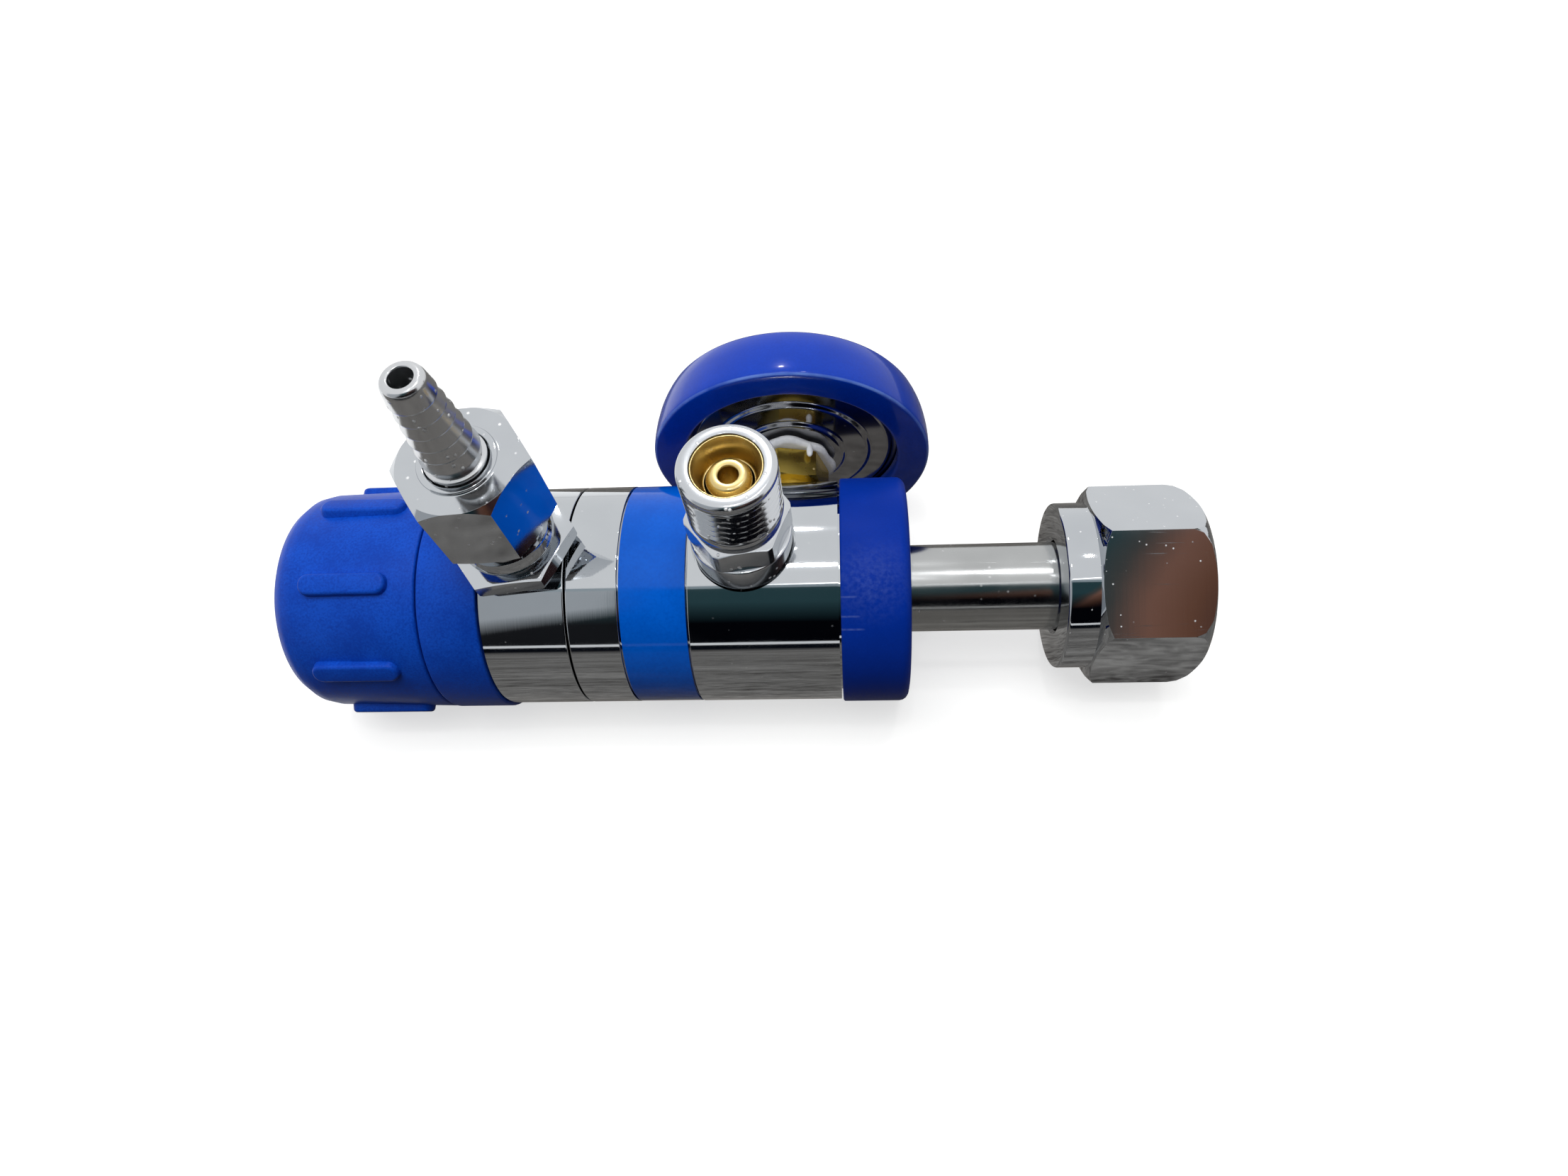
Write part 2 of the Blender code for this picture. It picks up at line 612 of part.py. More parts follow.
def build_head(top, looks, barb_frame):
    """The chromed flow head: nose, skirt seat, shown band and the spigot that enters the body."""
    bore = SPINDLE_RADIUS + SEAT_GAP
    seal_place = HEAD_NOSE + SPINDLE_SEAL_FROM_NOSE
    groove = bore + 2 * SEAL_RADIUS + SEAT_GAP
    half = SEAL_RADIUS + SEAT_GAP
    spigot = PISTON_BORE_RADIUS - SEAT_GAP
    outline = [
        (HEAD_NOSE, bore), (HEAD_NOSE, HEAD_NOSE_RADIUS), (HEAD_SHOULDER, HEAD_NOSE_RADIUS),
        (HEAD_SHOULDER, HEAD_SEAT_RADIUS), (SKIRT_END + SEAT_GAP, HEAD_SEAT_RADIUS),
        (SKIRT_END + SEAT_GAP, BARREL_RADIUS), (HEAD_END - BARREL_CHAMFER / 2, BARREL_RADIUS),
        (HEAD_END, BARREL_RADIUS - BARREL_CHAMFER / 2), (HEAD_END, spigot), (SPIGOT_END, spigot),
        (SPIGOT_END, POCKET_RADIUS), (POCKET_FLOOR, POCKET_RADIUS), (POCKET_FLOOR, bore),
        (seal_place + half, bore), (seal_place + half, groove), (seal_place - half, groove),
        (seal_place - half, bore),
    ]
    head = along_barrel("flow_head", outline, looks["chrome"], top)
    drill(head, barb_frame, [
        (BARB_SPIGOT_END - SEAT_GAP, 0), (BARB_SPIGOT_END - SEAT_GAP, BARB_SPIGOT_RADIUS + SEAT_GAP),
        (BARREL_RADIUS + MM, BARB_SPIGOT_RADIUS + SEAT_GAP), (BARREL_RADIUS + MM, 0),
    ])
    ball_hole = Matrix.Translation((0, DETENT_RADIUS, 0)) @ Matrix.Rotation(math.pi / 2, 4, "Y")
    hole_radius = BALL_RADIUS + SEAT_GAP
    drill(head, ball_hole, [
        (HEAD_SHOULDER - MM, 0), (HEAD_SHOULDER - MM, hole_radius),
        (HEAD_SHOULDER + BALL_HOLE_DEPTH, hole_radius), (HEAD_SHOULDER + BALL_HOLE_DEPTH, 0),
    ], TINY)
    inner = SKIRT_RADIUS - SKIRT_WALL
    outline = [
        (SKIRT_START, inner), (SKIRT_START, SKIRT_RADIUS - 0.3 * MM), (SKIRT_START + 0.3 * MM, SKIRT_RADIUS),
        (SKIRT_END - 0.3 * MM, SKIRT_RADIUS), (SKIRT_END, SKIRT_RADIUS - 0.3 * MM), (SKIRT_END, inner),
    ]
    along_barrel("knob_skirt", outline, looks["blue"], top)


def build_body(top, looks, outlet_frame, gauge_frame):
    """The chromed main body with its label band and its rubber bumper ring."""
    floor = BARREL_RADIUS - LABEL_DEPTH
    socket = STEM_RADIUS + SEAT_GAP
    outline = [
        (BODY_START, PISTON_BORE_RADIUS), (BODY_START, BARREL_RADIUS - BARREL_CHAMFER / 2),
        (BODY_START + BARREL_CHAMFER / 2, BARREL_RADIUS),
        (LABEL_START - SEAT_GAP, BARREL_RADIUS), (LABEL_START - SEAT_GAP, floor),
        (LABEL_END + SEAT_GAP, floor), (LABEL_END + SEAT_GAP, BARREL_RADIUS),
        (BUMPER_START - SEAT_GAP, BARREL_RADIUS), (BUMPER_START - SEAT_GAP, BODY_TENON_RADIUS),
        (BODY_END, BODY_TENON_RADIUS), (BODY_END, socket), (STEM_SOCKET_FLOOR, socket),
        (STEM_SOCKET_FLOOR, VALVE_CHAMBER_RADIUS), (NOZZLE_END, VALVE_CHAMBER_RADIUS),
        (NOZZLE_END, NOZZLE_RADIUS), (NOZZLE_START, NOZZLE_RADIUS), (NOZZLE_START, PISTON_BORE_RADIUS),
    ]
    body = along_barrel("main_body", outline, looks["chrome"], top)
    spot_radius = OUTLET_COLLAR_RADIUS + SEAT_GAP
    port_radius = OUTLET_SPIGOT_RADIUS + SEAT_GAP
    spot_floor = outlet_seat() - SEAT_GAP
    drill(body, outlet_frame, [
        (PISTON_BORE_RADIUS - MM, 0), (PISTON_BORE_RADIUS - MM, port_radius), (spot_floor, port_radius),
        (spot_floor, spot_radius), (BARREL_RADIUS + MM, spot_radius), (BARREL_RADIUS + MM, 0),
    ])
    port_radius = GAUGE_SPIGOT_RADIUS + SEAT_GAP
    port_floor = GAUGE_SPIGOT_END - SEAT_GAP
    drill(body, gauge_frame, [
        (VALVE_CHAMBER_RADIUS - MM, 0), (VALVE_CHAMBER_RADIUS - MM, GAUGE_DRILL_RADIUS),
        (port_floor, GAUGE_DRILL_RADIUS), (port_floor, port_radius),
        (BARREL_RADIUS + MM, port_radius), (BARREL_RADIUS + MM, 0),
    ], SMALL)
    inner = floor + PAPER_GAP
    outline = [
        (LABEL_START, inner), (LABEL_START, inner + LABEL_THICKNESS),
        (LABEL_END, inner + LABEL_THICKNESS), (LABEL_END, inner),
    ]
    along_barrel("label_band", outline, looks["label"], top)
    inner = BUMPER_RADIUS - BUMPER_WALL
    outline = [(BUMPER_START, inner), (BUMPER_START, BUMPER_RADIUS - 0.3 * MM)]
    outline += [(BUMPER_START + 0.3 * MM, BUMPER_RADIUS)]
    outline += arc((BUMPER_END - BUMPER_CORNER, BUMPER_RADIUS - BUMPER_CORNER), BUMPER_CORNER, 90, 0, 3)
    outline += [
        (BUMPER_END, BUMPER_HOLE_RADIUS), (BODY_END + SEAT_GAP, BUMPER_HOLE_RADIUS), (BODY_END + SEAT_GAP, inner),
    ]
    along_barrel("bumper_ring", outline, looks["rubber_blue"], top)


def outlet_seat():
    """Height of the threaded outlet's collar above the barrel's axis, in its round recess."""
    spot_radius = OUTLET_COLLAR_RADIUS + SEAT_GAP
    return math.sqrt(BARREL_RADIUS**2 - spot_radius**2) + SEAT_GAP


def build_piston(top, looks):
    """The spring plate, regulating spring, piston, its O-ring, the valve and its spring."""
    bore = PISTON_BORE_RADIUS
    skirt = bore - SEAT_GAP
    outline = [
        (PLATE_START, SPRING_PLATE_HOLE), (PLATE_START, skirt), (PLATE_END, skirt), (PLATE_END, SPRING_PLATE_HOLE),
    ]
    along_barrel("spring_plate", outline, looks["brass"], top, SMALL)
    groove_start = PISTON_START + PISTON_GROOVE_FROM_BACK
    groove_end = groove_start + 2 * SEAL_RADIUS + 2 * SEAT_GAP
    groove_floor = skirt - 2 * SEAL_RADIUS - SEAT_GAP
    cup_floor = PISTON_END - PISTON_FLOOR
    pin_end = VALVE_TIP - SEAT_GAP
    outline = [
        (cup_floor, 0), (cup_floor, PISTON_CUP_RADIUS), (PISTON_START, PISTON_CUP_RADIUS),
        (PISTON_START, skirt), (groove_start, skirt), (groove_start, groove_floor),
        (groove_end, groove_floor), (groove_end, skirt), (PISTON_END, skirt),
        (PISTON_END, PISTON_PIN_RADIUS), (pin_end, PISTON_PIN_RADIUS), (pin_end, 0),
    ]
    along_barrel("piston", outline, looks["brass"], top, SMALL)
    seal_place = (groove_start + groove_end) / 2
    along_barrel("piston_seal", ring_seal(seal_place, groove_floor + SEAT_GAP, skirt), looks["rubber"], top, SMALL)
    points = lay_along_x(coil(PLATE_END + SEAT_GAP, cup_floor - SEAT_GAP, REGULATING_SPRING_RADIUS,
                              REGULATING_WIRE, REGULATING_TURNS, 12))
    swept("regulating_spring", points, REGULATING_WIRE, 6, looks["spring"], top)
    shoulder = NOZZLE_END + VALVE_LIFT
    outline = [
        (VALVE_TIP, 0), (VALVE_TIP, VALVE_TIP_RADIUS), (shoulder, VALVE_TIP_RADIUS),
        (shoulder, VALVE_RADIUS), (VALVE_END, VALVE_RADIUS), (VALVE_END, 0),
    ]
    along_barrel("inlet_valve", outline, looks["brass"], top, TINY)
    points = lay_along_x(coil(VALVE_END + SEAT_GAP, STEM_START - SEAT_GAP, VALVE_SPRING_RADIUS, VALVE_WIRE,
                              VALVE_TURNS, 8))
    swept("valve_spring", points, VALVE_WIRE, 4, looks["spring"], top)


def build_inlet(top, looks):
    """The inlet stem with its shoulder and nose, its filter and the loose cylinder nut."""
    filter_seat = NOSE_END - FILTER_LENGTH - 2 * SEAT_GAP
    filter_bore = FILTER_RADIUS + SEAT_GAP
    shoulder = NUT_CAVITY + SEAT_GAP
    shoulder_end = shoulder + STEM_SHOULDER_LENGTH
    outline = [
        (STEM_START, STEM_BORE_RADIUS), (STEM_START, STEM_RADIUS), (shoulder, STEM_RADIUS),
        (shoulder, STEM_SHOULDER_RADIUS), (shoulder_end, STEM_SHOULDER_RADIUS), (shoulder_end, NOSE_RADIUS),
    ]
    nose_corner = (NOSE_RADIUS - NOSE_TIP_RADIUS)
    outline += arc((NOSE_END - nose_corner, NOSE_TIP_RADIUS), nose_corner, 90, 0, 3)
    outline += [(NOSE_END, filter_bore), (filter_seat, filter_bore), (filter_seat, STEM_BORE_RADIUS)]
    along_barrel("inlet_stem", outline, looks["steel"], top, MEDIUM)
    outline = [
        (filter_seat + SEAT_GAP, 0), (filter_seat + SEAT_GAP, FILTER_RADIUS),
        (filter_seat + SEAT_GAP + FILTER_LENGTH, FILTER_RADIUS), (filter_seat + SEAT_GAP + FILTER_LENGTH, 0),
    ]
    along_barrel("inlet_filter", outline, looks["bronze"], top, TINY)
    corner = NUT_ACROSS_FLATS / math.sqrt(3)
    hole = STEM_RADIUS + SEAT_GAP
    outline = [
        (NUT_START, hole + 0.5 * MM), (NUT_START, NUT_COLLAR_RADIUS - 0.5 * MM),
        (NUT_START + 0.5 * MM, NUT_COLLAR_RADIUS), (NUT_HEX_START, NUT_COLLAR_RADIUS),
        (NUT_HEX_START + 0.1 * MM, NUT_ACROSS_FLATS / 2 - 0.1 * MM),
        (NUT_HEX_START + NUT_BACK_CHAMFER / 2, corner - 0.9 * MM), (NUT_HEX_START + NUT_BACK_CHAMFER, corner),
    ]
    outline += arc((NUT_END - NUT_FACE_ROUNDING, corner - NUT_FACE_ROUNDING), NUT_FACE_ROUNDING, 90, 0, 5)
    outline += [
        (NUT_END, NUT_BORE_RADIUS + 0.7 * MM), (NUT_END - 0.7 * MM, NUT_BORE_RADIUS),
        (NUT_CAVITY, NUT_BORE_RADIUS), (NUT_CAVITY, hole), (NUT_START + 0.5 * MM, hole),
    ]
    flats = (NUT_ACROSS_FLATS, NUT_HEX_START, NUT_END)
    along_barrel("inlet_nut", outline, looks["chrome"], top, HEX_LARGE, flats, NUT_CLOCK)


def build_threaded_outlet(frame, looks):
    """The threaded outlet body, its brass funnel, and the sprung poppet in the funnel."""
    seat = outlet_seat()
    spigot_end = PISTON_BORE_RADIUS + SEAT_GAP
    bore_floor = OUTLET_TIP - OUTLET_BORE_DEPTH
    chamber_radius = POPPET_RADIUS + SEAT_GAP
    chamber_floor = bore_floor - POPPET_CHAMBER
    thread_chamfer = 1.0 * MM
    flat_half = OUTLET_ACROSS_FLATS / 2
    outline = [
        (spigot_end, OUTLET_PASSAGE_RADIUS), (spigot_end, OUTLET_SPIGOT_RADIUS), (seat, OUTLET_SPIGOT_RADIUS),
        (seat, OUTLET_COLLAR_RADIUS), (OUTLET_COLLAR_TOP - 0.3 * MM, OUTLET_COLLAR_RADIUS),
        (OUTLET_COLLAR_TOP, OUTLET_COLLAR_RADIUS - 0.3 * MM), (OUTLET_COLLAR_TOP + 0.05 * MM, OUTLET_CORNER_RADIUS),
        (OUTLET_HEX_TOP - 0.5 * MM, OUTLET_CORNER_RADIUS), (OUTLET_HEX_TOP, flat_half - 0.1 * MM),
        (OUTLET_HEX_TOP + 0.1 * MM, OUTLET_NECK_RADIUS), (OUTLET_NECK_TOP - 0.5 * MM, OUTLET_NECK_RADIUS),
        (OUTLET_NECK_TOP, OUTLET_THREAD_RADIUS), (OUTLET_TIP - thread_chamfer, OUTLET_THREAD_RADIUS),
        (OUTLET_TIP, OUTLET_THREAD_RADIUS - 0.8 * thread_chamfer), (OUTLET_TIP, OUTLET_BORE_RADIUS),
        (bore_floor, OUTLET_BORE_RADIUS), (bore_floor, chamber_radius), (chamber_floor, chamber_radius),
        (chamber_floor, OUTLET_PASSAGE_RADIUS),
    ]
    flats = (OUTLET_ACROSS_FLATS, OUTLET_COLLAR_TOP + 0.02 * MM, OUTLET_HEX_TOP)
    turned("outlet_body", outline, looks["chrome"], frame, MEDIUM, flats, OUTLET_HEX_TURN)
    insert_radius = OUTLET_BORE_RADIUS - SEAT_GAP
    funnel_top = OUTLET_TIP - FUNNEL_BELOW_TIP
    funnel_floor = funnel_top - FUNNEL_DEPTH
    outline = [
        (bore_floor + SEAT_GAP, chamber_radius), (bore_floor + SEAT_GAP, insert_radius),
        (funnel_top, insert_radius), (funnel_top, insert_radius - 0.2 * MM),
        (funnel_floor, chamber_radius + 0.2 * MM), (funnel_floor, chamber_radius),
    ]
    turned("outlet_insert", outline, looks["brass"], frame, MEDIUM)
    face = OUTLET_TIP - POPPET_BELOW_TIP
    back = face - POPPET_LENGTH
    outline = [
        (back, 0), (back, POPPET_RADIUS), (face - 0.6 * MM, POPPET_RADIUS), (face, POPPET_RADIUS - 0.6 * MM),
        (face, POPPET_HOLE_RADIUS), (back + 1.5 * MM, POPPET_HOLE_RADIUS), (back + 1.5 * MM, 0),
    ]
    turned("outlet_poppet", outline, looks["brass"], frame, SMALL)
    points = coil(chamber_floor + SEAT_GAP, back - SEAT_GAP, POPPET_SPRING_RADIUS, POPPET_WIRE, POPPET_TURNS, 8)
    swept("outlet_poppet_spring", points, POPPET_WIRE, 4, looks["spring"], frame)


def build_barbed_outlet(frame, looks):
    """The barbed outlet: base with a hex flange and neck, union nut and hose barb."""
    corner = BARB_FLANGE_FLATS / math.sqrt(3)
    thread_end = BARB_NUT_FRONT - BARB_NUT_WALL - BARB_SHOULDER_LENGTH - 2 * SEAT_GAP
    outline = [
        (BARB_SPIGOT_END, BARB_PASSAGE_RADIUS), (BARB_SPIGOT_END, BARB_SPIGOT_RADIUS),
        (BARB_FLANGE_BOTTOM, BARB_SPIGOT_RADIUS), (BARB_FLANGE_BOTTOM + 0.02 * MM, corner),
        (BARB_FLANGE_TOP - 0.6 * MM, corner), (BARB_FLANGE_TOP, BARB_FLANGE_FLATS / 2 - 0.3 * MM),
        (BARB_FLANGE_TOP + 0.1 * MM, BARB_NECK_RADIUS + 0.8 * MM), (BARB_FLANGE_TOP + 1.6 * MM, BARB_NECK_RADIUS),
        (BARB_NUT_BACK - SEAT_GAP, BARB_NECK_RADIUS), (BARB_NUT_BACK - SEAT_GAP, BARB_THREAD_RADIUS),
        (thread_end, BARB_THREAD_RADIUS), (thread_end, BARB_PASSAGE_RADIUS),
    ]
    flats = (BARB_FLANGE_FLATS, BARB_FLANGE_BOTTOM, BARB_FLANGE_TOP)
    turned("barb_base", outline, looks["chrome"], frame, MEDIUM, flats, BARB_FLANGE_TURN)
    corner = BARB_NUT_FLATS / math.sqrt(3)
    bore = BARB_THREAD_RADIUS + SEAT_GAP
    mouth = BARB_RADIUS + SEAT_GAP
    wall = BARB_NUT_FRONT - BARB_NUT_WALL
    outline = [
        (BARB_NUT_BACK, bore), (BARB_NUT_BACK, BARB_NUT_FLATS / 2 - 0.3 * MM),
        (BARB_NUT_BACK + 0.8 * MM, corner), (BARB_NUT_FRONT - 0.8 * MM, corner),
        (BARB_NUT_FRONT, BARB_NUT_FLATS / 2 - 0.3 * MM), (BARB_NUT_FRONT, mouth + 1.0 * MM),
        (BARB_NUT_FRONT + 0.4 * MM, mouth + 0.9 * MM), (BARB_NUT_FRONT + 0.4 * MM, mouth), (wall, mouth), (wall, bore),
    ]
    flats = (BARB_NUT_FLATS, BARB_NUT_BACK, BARB_NUT_FRONT)
    turned("barb_nut", outline, looks["chrome"], frame, MEDIUM, flats, BARB_NUT_TURN)
    turned("hose_barb", barb_outline(wall), looks["chrome"], frame, SMALL)


def barb_outline(wall):
    """The hose barb: shoulder inside the nut, plain length, then rings that taper to the tip."""
    shoulder_end = wall - SEAT_GAP
    shoulder = shoulder_end - BARB_SHOULDER_LENGTH
    first = BARB_NUT_FRONT + BARB_PLAIN
    pitch = (BARB_TIP - first) / (BARB_RING_COUNT + 0.6)
    outline = [
        (shoulder, BARB_PASSAGE_RADIUS), (shoulder, BARB_THREAD_RADIUS), (shoulder_end, BARB_THREAD_RADIUS),
        (shoulder_end, BARB_RADIUS),
    ]
    for index in range(BARB_RING_COUNT):
        low = first + pitch * index
        share = (low - first) / (BARB_TIP - first)
        crest = BARB_RADIUS + (BARB_TIP_RADIUS - BARB_RADIUS) * share
        outline.append((low, crest - BARB_RING_DEPTH))
        outline.append((low + 0.25 * MM, crest))
    outline += [
        (BARB_TIP - 0.6 * MM, BARB_TIP_RADIUS - 0.1 * MM), (BARB_TIP, BARB_TIP_RADIUS - 0.5 * MM),
        (BARB_TIP, BARB_PASSAGE_RADIUS),
    ]
    return outline


def build_gauge_stem(frame, looks):
    """The brass gauge stem with its hex, and the white sealant squeezed round the hex's top."""
    corner = GAUGE_ACROSS_FLATS / math.sqrt(3)
    stem_end = CASE_BACK + 3.0 * MM
    outline = [
        (GAUGE_SPIGOT_END, 0.8 * MM), (GAUGE_SPIGOT_END, GAUGE_SPIGOT_RADIUS), (GAUGE_HEX_BOTTOM, GAUGE_SPIGOT_RADIUS),
        (GAUGE_HEX_BOTTOM + 0.02 * MM, corner), (GAUGE_HEX_TOP, corner), (GAUGE_HEX_TOP + 0.02 * MM, GAUGE_NECK_RADIUS),
        (stem_end, GAUGE_NECK_RADIUS), (stem_end, 0.8 * MM),
    ]
    flats = (GAUGE_ACROSS_FLATS, GAUGE_HEX_BOTTOM, GAUGE_HEX_TOP + 0.01 * MM)
    turned("gauge_stem", outline, looks["brass"], frame, MEDIUM, flats, GAUGE_HEX_TURN)
    low = GAUGE_HEX_TOP + SEAT_GAP
    high = low + SEALANT_THICKNESS
    inner = GAUGE_NECK_RADIUS + SEAT_GAP
    outline = [
        (low, inner), (low, SEALANT_RADIUS - 0.6 * MM), (low + 0.5 * MM, SEALANT_RADIUS),
        (high - 0.4 * MM, SEALANT_RADIUS - 0.2 * MM), (high, SEALANT_RADIUS - 1.0 * MM), (high, inner),
    ]
    shape = turned_shape(outline, MEDIUM)
    for point in shape.verts:
        reach = point.co.xy.length
        if reach > inner + 0.5 * MM:
            angle = math.atan2(point.co.y, point.co.x)
            swell = 1 + 0.05 * math.sin(3 * angle + 0.6) + 0.035 * math.sin(7 * angle)
            point.co.x *= swell
            point.co.y *= swell
    sealant = finish("thread_sealant", shape, looks["sealant"], frame)
    shape = turned_shape([
        (low - DRIP_LENGTH, 0), (low - DRIP_LENGTH + 0.3 * MM, DRIP_RADIUS * 0.8),
        (low - DRIP_LENGTH + 0.7 * MM, DRIP_RADIUS), (low + 0.7 * MM, DRIP_RADIUS * 0.8), (low + 0.7 * MM, 0),
    ], 8)
    place = corner + DRIP_RADIUS
    drip_angle = math.radians(-60)
    bmesh.ops.translate(shape, verts=shape.verts,
                        vec=(place * math.cos(drip_angle), place * math.sin(drip_angle), 0))
    combine(sealant, finish("drip", shape, None, frame), "UNION")


def case_outline():
    """The pressed steel case: a back that steps down towards its rim, and a plain wall."""
    steps = [CASE_INNER_STEP_RADIUS, CASE_OUTER_STEP_RADIUS, CASE_RIM_STEP_RADIUS]
    hole = GAUGE_NECK_RADIUS + SEAT_GAP
    wall = BOOT_RADIUS - BOOT_WALL - SEAT_GAP
    lens_back = BOOT_BACK + BOOT_DEPTH - BOOT_FRONT_LIP / 2 - SEAT_GAP - LENS_THICKNESS
    outside = [(CASE_BACK, hole)]
    inside = [(CASE_BACK + CASE_SHEET, hole)]
    depth = CASE_BACK
    for radius in steps:
        outside += [(depth, radius), (depth + CASE_STEP, radius + CASE_STEP)]
        inside += [(depth + CASE_SHEET, radius - 0.3 * MM), (depth + CASE_STEP + CASE_SHEET, radius + CASE_STEP - 0.3 * MM)]
        depth += CASE_STEP
    outside += [(depth, wall), (lens_back - SEAT_GAP, wall)]
    inside += [(depth + CASE_SHEET, wall - CASE_SHEET), (lens_back - SEAT_GAP, wall - CASE_SHEET)]
    return outside + inside[::-1]


def build_gauge(frame, looks):
    """The gauge: steel case, rubber boot, lens, dial, pointer, movement plate and bourdon tube."""
    front = BOOT_BACK + BOOT_DEPTH
    wall = BOOT_RADIUS - BOOT_WALL
    case_rim = CASE_BACK + 3 * CASE_STEP
    turned("gauge_case", case_outline(), looks["polished"], frame, LARGE)
    lip_radius = wall - BOOT_FRONT_LIP
    outline = boot_outer() + [
        (front, lip_radius), (front - BOOT_FRONT_LIP / 2, lip_radius), (front - BOOT_FRONT_LIP / 2, wall),
        (case_rim - SEAT_GAP, wall), (case_rim - SEAT_GAP, BOOT_OPENING_RADIUS),
    ]
    turned("gauge_boot", outline, looks["boot"], frame, LARGE)
    lens_front = front - BOOT_FRONT_LIP / 2 - SEAT_GAP
    lens_back = lens_front - LENS_THICKNESS
    lens_radius = wall - SEAT_GAP
    outline = [
        (lens_back, 0), (lens_back, lens_radius), (lens_front, lens_radius), (lens_front, 0),
    ]
    turned("gauge_lens", outline, looks["glass"], frame, MEDIUM)
    dial_radius = wall - SEAT_GAP - CASE_SHEET - SEAT_GAP
    dial_front = lens_back - DIAL_BELOW_LENS
    dial_back = dial_front - DIAL_THICKNESS
    shaft_hole = POINTER_SHAFT_RADIUS + SEAT_GAP
    outline = [
        (dial_back, shaft_hole), (dial_back, dial_radius), (dial_front, dial_radius), (dial_front, shaft_hole),
    ]
    turned("gauge_dial", outline, looks["dial"], frame, SMALL)
    plate_low = CASE_BACK + 3.0 * MM + SEAT_GAP
    plate_high = plate_low + MOVEMENT_THICKNESS
    outline = [
        (plate_low, shaft_hole), (plate_low, MOVEMENT_RADIUS), (plate_high, MOVEMENT_RADIUS), (plate_high, shaft_hole),
    ]
    turned("gauge_movement", outline, looks["brass"], frame, SMALL)
    build_pointer(frame, looks, plate_low, dial_front)
    build_tube(frame, looks, (plate_low + plate_high) / 2)


def build_pointer(frame, looks, low, dial_front):
    """The pointer: a shaft through the dial with a hub, and a tapered blade at the zero mark."""
    hub_low = dial_front + SEAT_GAP
    blade_low = hub_low + 0.2 * MM
    hub_high = blade_low + POINTER_THICKNESS + 0.2 * MM
    hub = POINTER_HUB_RADIUS
    outline = [
        (low + 0.1 * MM, 0), (low + 0.1 * MM, POINTER_SHAFT_RADIUS), (hub_low, POINTER_SHAFT_RADIUS),
        (hub_low, hub), (hub_high, hub), (hub_high, 0),
    ]
    pointer = turned("gauge_pointer", outline, looks["black"], frame, TINY)
    shape = bmesh.new()
    widths = [(-POINTER_TAIL, POINTER_TAIL_WIDTH), (0, POINTER_HUB_WIDTH), (POINTER_LENGTH, POINTER_TIP_WIDTH)]
    corners = [(place, -width / 2) for place, width in widths]
    corners += [(place, width / 2) for place, width in reversed(widths)]
    plan = shape.faces.new([shape.verts.new((x, y, blade_low)) for x, y in corners])
    raised = bmesh.ops.extrude_face_region(shape, geom=[plan])
    lifted = [item for item in raised["geom"] if isinstance(item, bmesh.types.BMVert)]
    bmesh.ops.translate(shape, verts=lifted, vec=(0, 0, POINTER_THICKNESS))
    bmesh.ops.rotate(shape, verts=shape.verts, cent=(0, 0, 0),
                     matrix=Matrix.Rotation(math.radians(POINTER_ZERO), 3, "Z"))
    combine(pointer, finish("blade", shape, None, frame), "UNION")


def build_tube(frame, looks, height):
    """The bourdon tube: from the movement plate out to its circle, and most of the way round."""
    start = MOVEMENT_RADIUS + SEAT_GAP + TUBE_RADIUS
    points = []
    steps = 30
    for step in range(steps + 1):
        share = step / steps
        grow = min(1.0, share * 3)
        radius = start + (TUBE_CIRCLE - start) * math.sin(grow * math.pi / 2)
        angle = math.radians(290 * share)
        points.append((radius * math.cos(angle), radius * math.sin(angle), height))
    swept("bourdon_tube", points, TUBE_RADIUS, 6, looks["brass"], frame)


def make_looks():
    """One material for each kind of surface."""
    return {
        "blue": material("moulded blue nylon", (0.010, 0.050, 0.40), 0.42),
        "boot": material("glossy blue boot", (0.008, 0.040, 0.38), 0.28),
        "rubber_blue": material("satin blue rubber", (0.004, 0.025, 0.27), 0.45),
        "label": material("gloss blue band", (0.0, 0.10, 0.55), 0.2),
        "chrome": material("chrome plate", (0.78, 0.78, 0.80), 0.08, 1.0),
        "polished": material("polished steel", (0.60, 0.60, 0.60), 0.15, 1.0),
        "steel": material("turned steel", (0.52, 0.53, 0.54), 0.25, 1.0),
        "brass": material("machined brass", (0.72, 0.50, 0.18), 0.25, 1.0),
        "bronze": material("sintered bronze", (0.45, 0.28, 0.12), 0.65, 1.0),
        "spring": material("spring steel", (0.40, 0.40, 0.42), 0.3, 1.0),
        "rubber": material("black rubber", (0.02, 0.02, 0.02), 0.6),
        "nylon": material("white nylon", (0.75, 0.75, 0.72), 0.5),
        "sealant": material("white sealant", (0.80, 0.82, 0.84), 0.45),
        "dial": material("white dial", (0.85, 0.85, 0.85), 0.4),
        "black": material("black enamel", (0.02, 0.02, 0.02), 0.35),
        "glass": material("clear lens", (0.9, 0.95, 0.95), 0.05, 0.0, 0.35),
    }


def stand_on_floor(top):
    """Shift the whole part so that its box is centred on the origin and stands on the floor."""
    bpy.context.view_layer.update()
    corners = []
    for item in bpy.context.scene.objects:
        if item.type == "MESH":
            corners += [item.matrix_world @ point.co for point in item.data.vertices]
    low = Vector([min(corner[axis] for corner in corners) for axis in range(3)])
    high = Vector([max(corner[axis] for corner in corners) for axis in range(3)])
    top.location = (-(low.x + high.x) / 2, -(low.y + high.y) / 2, -low.z)


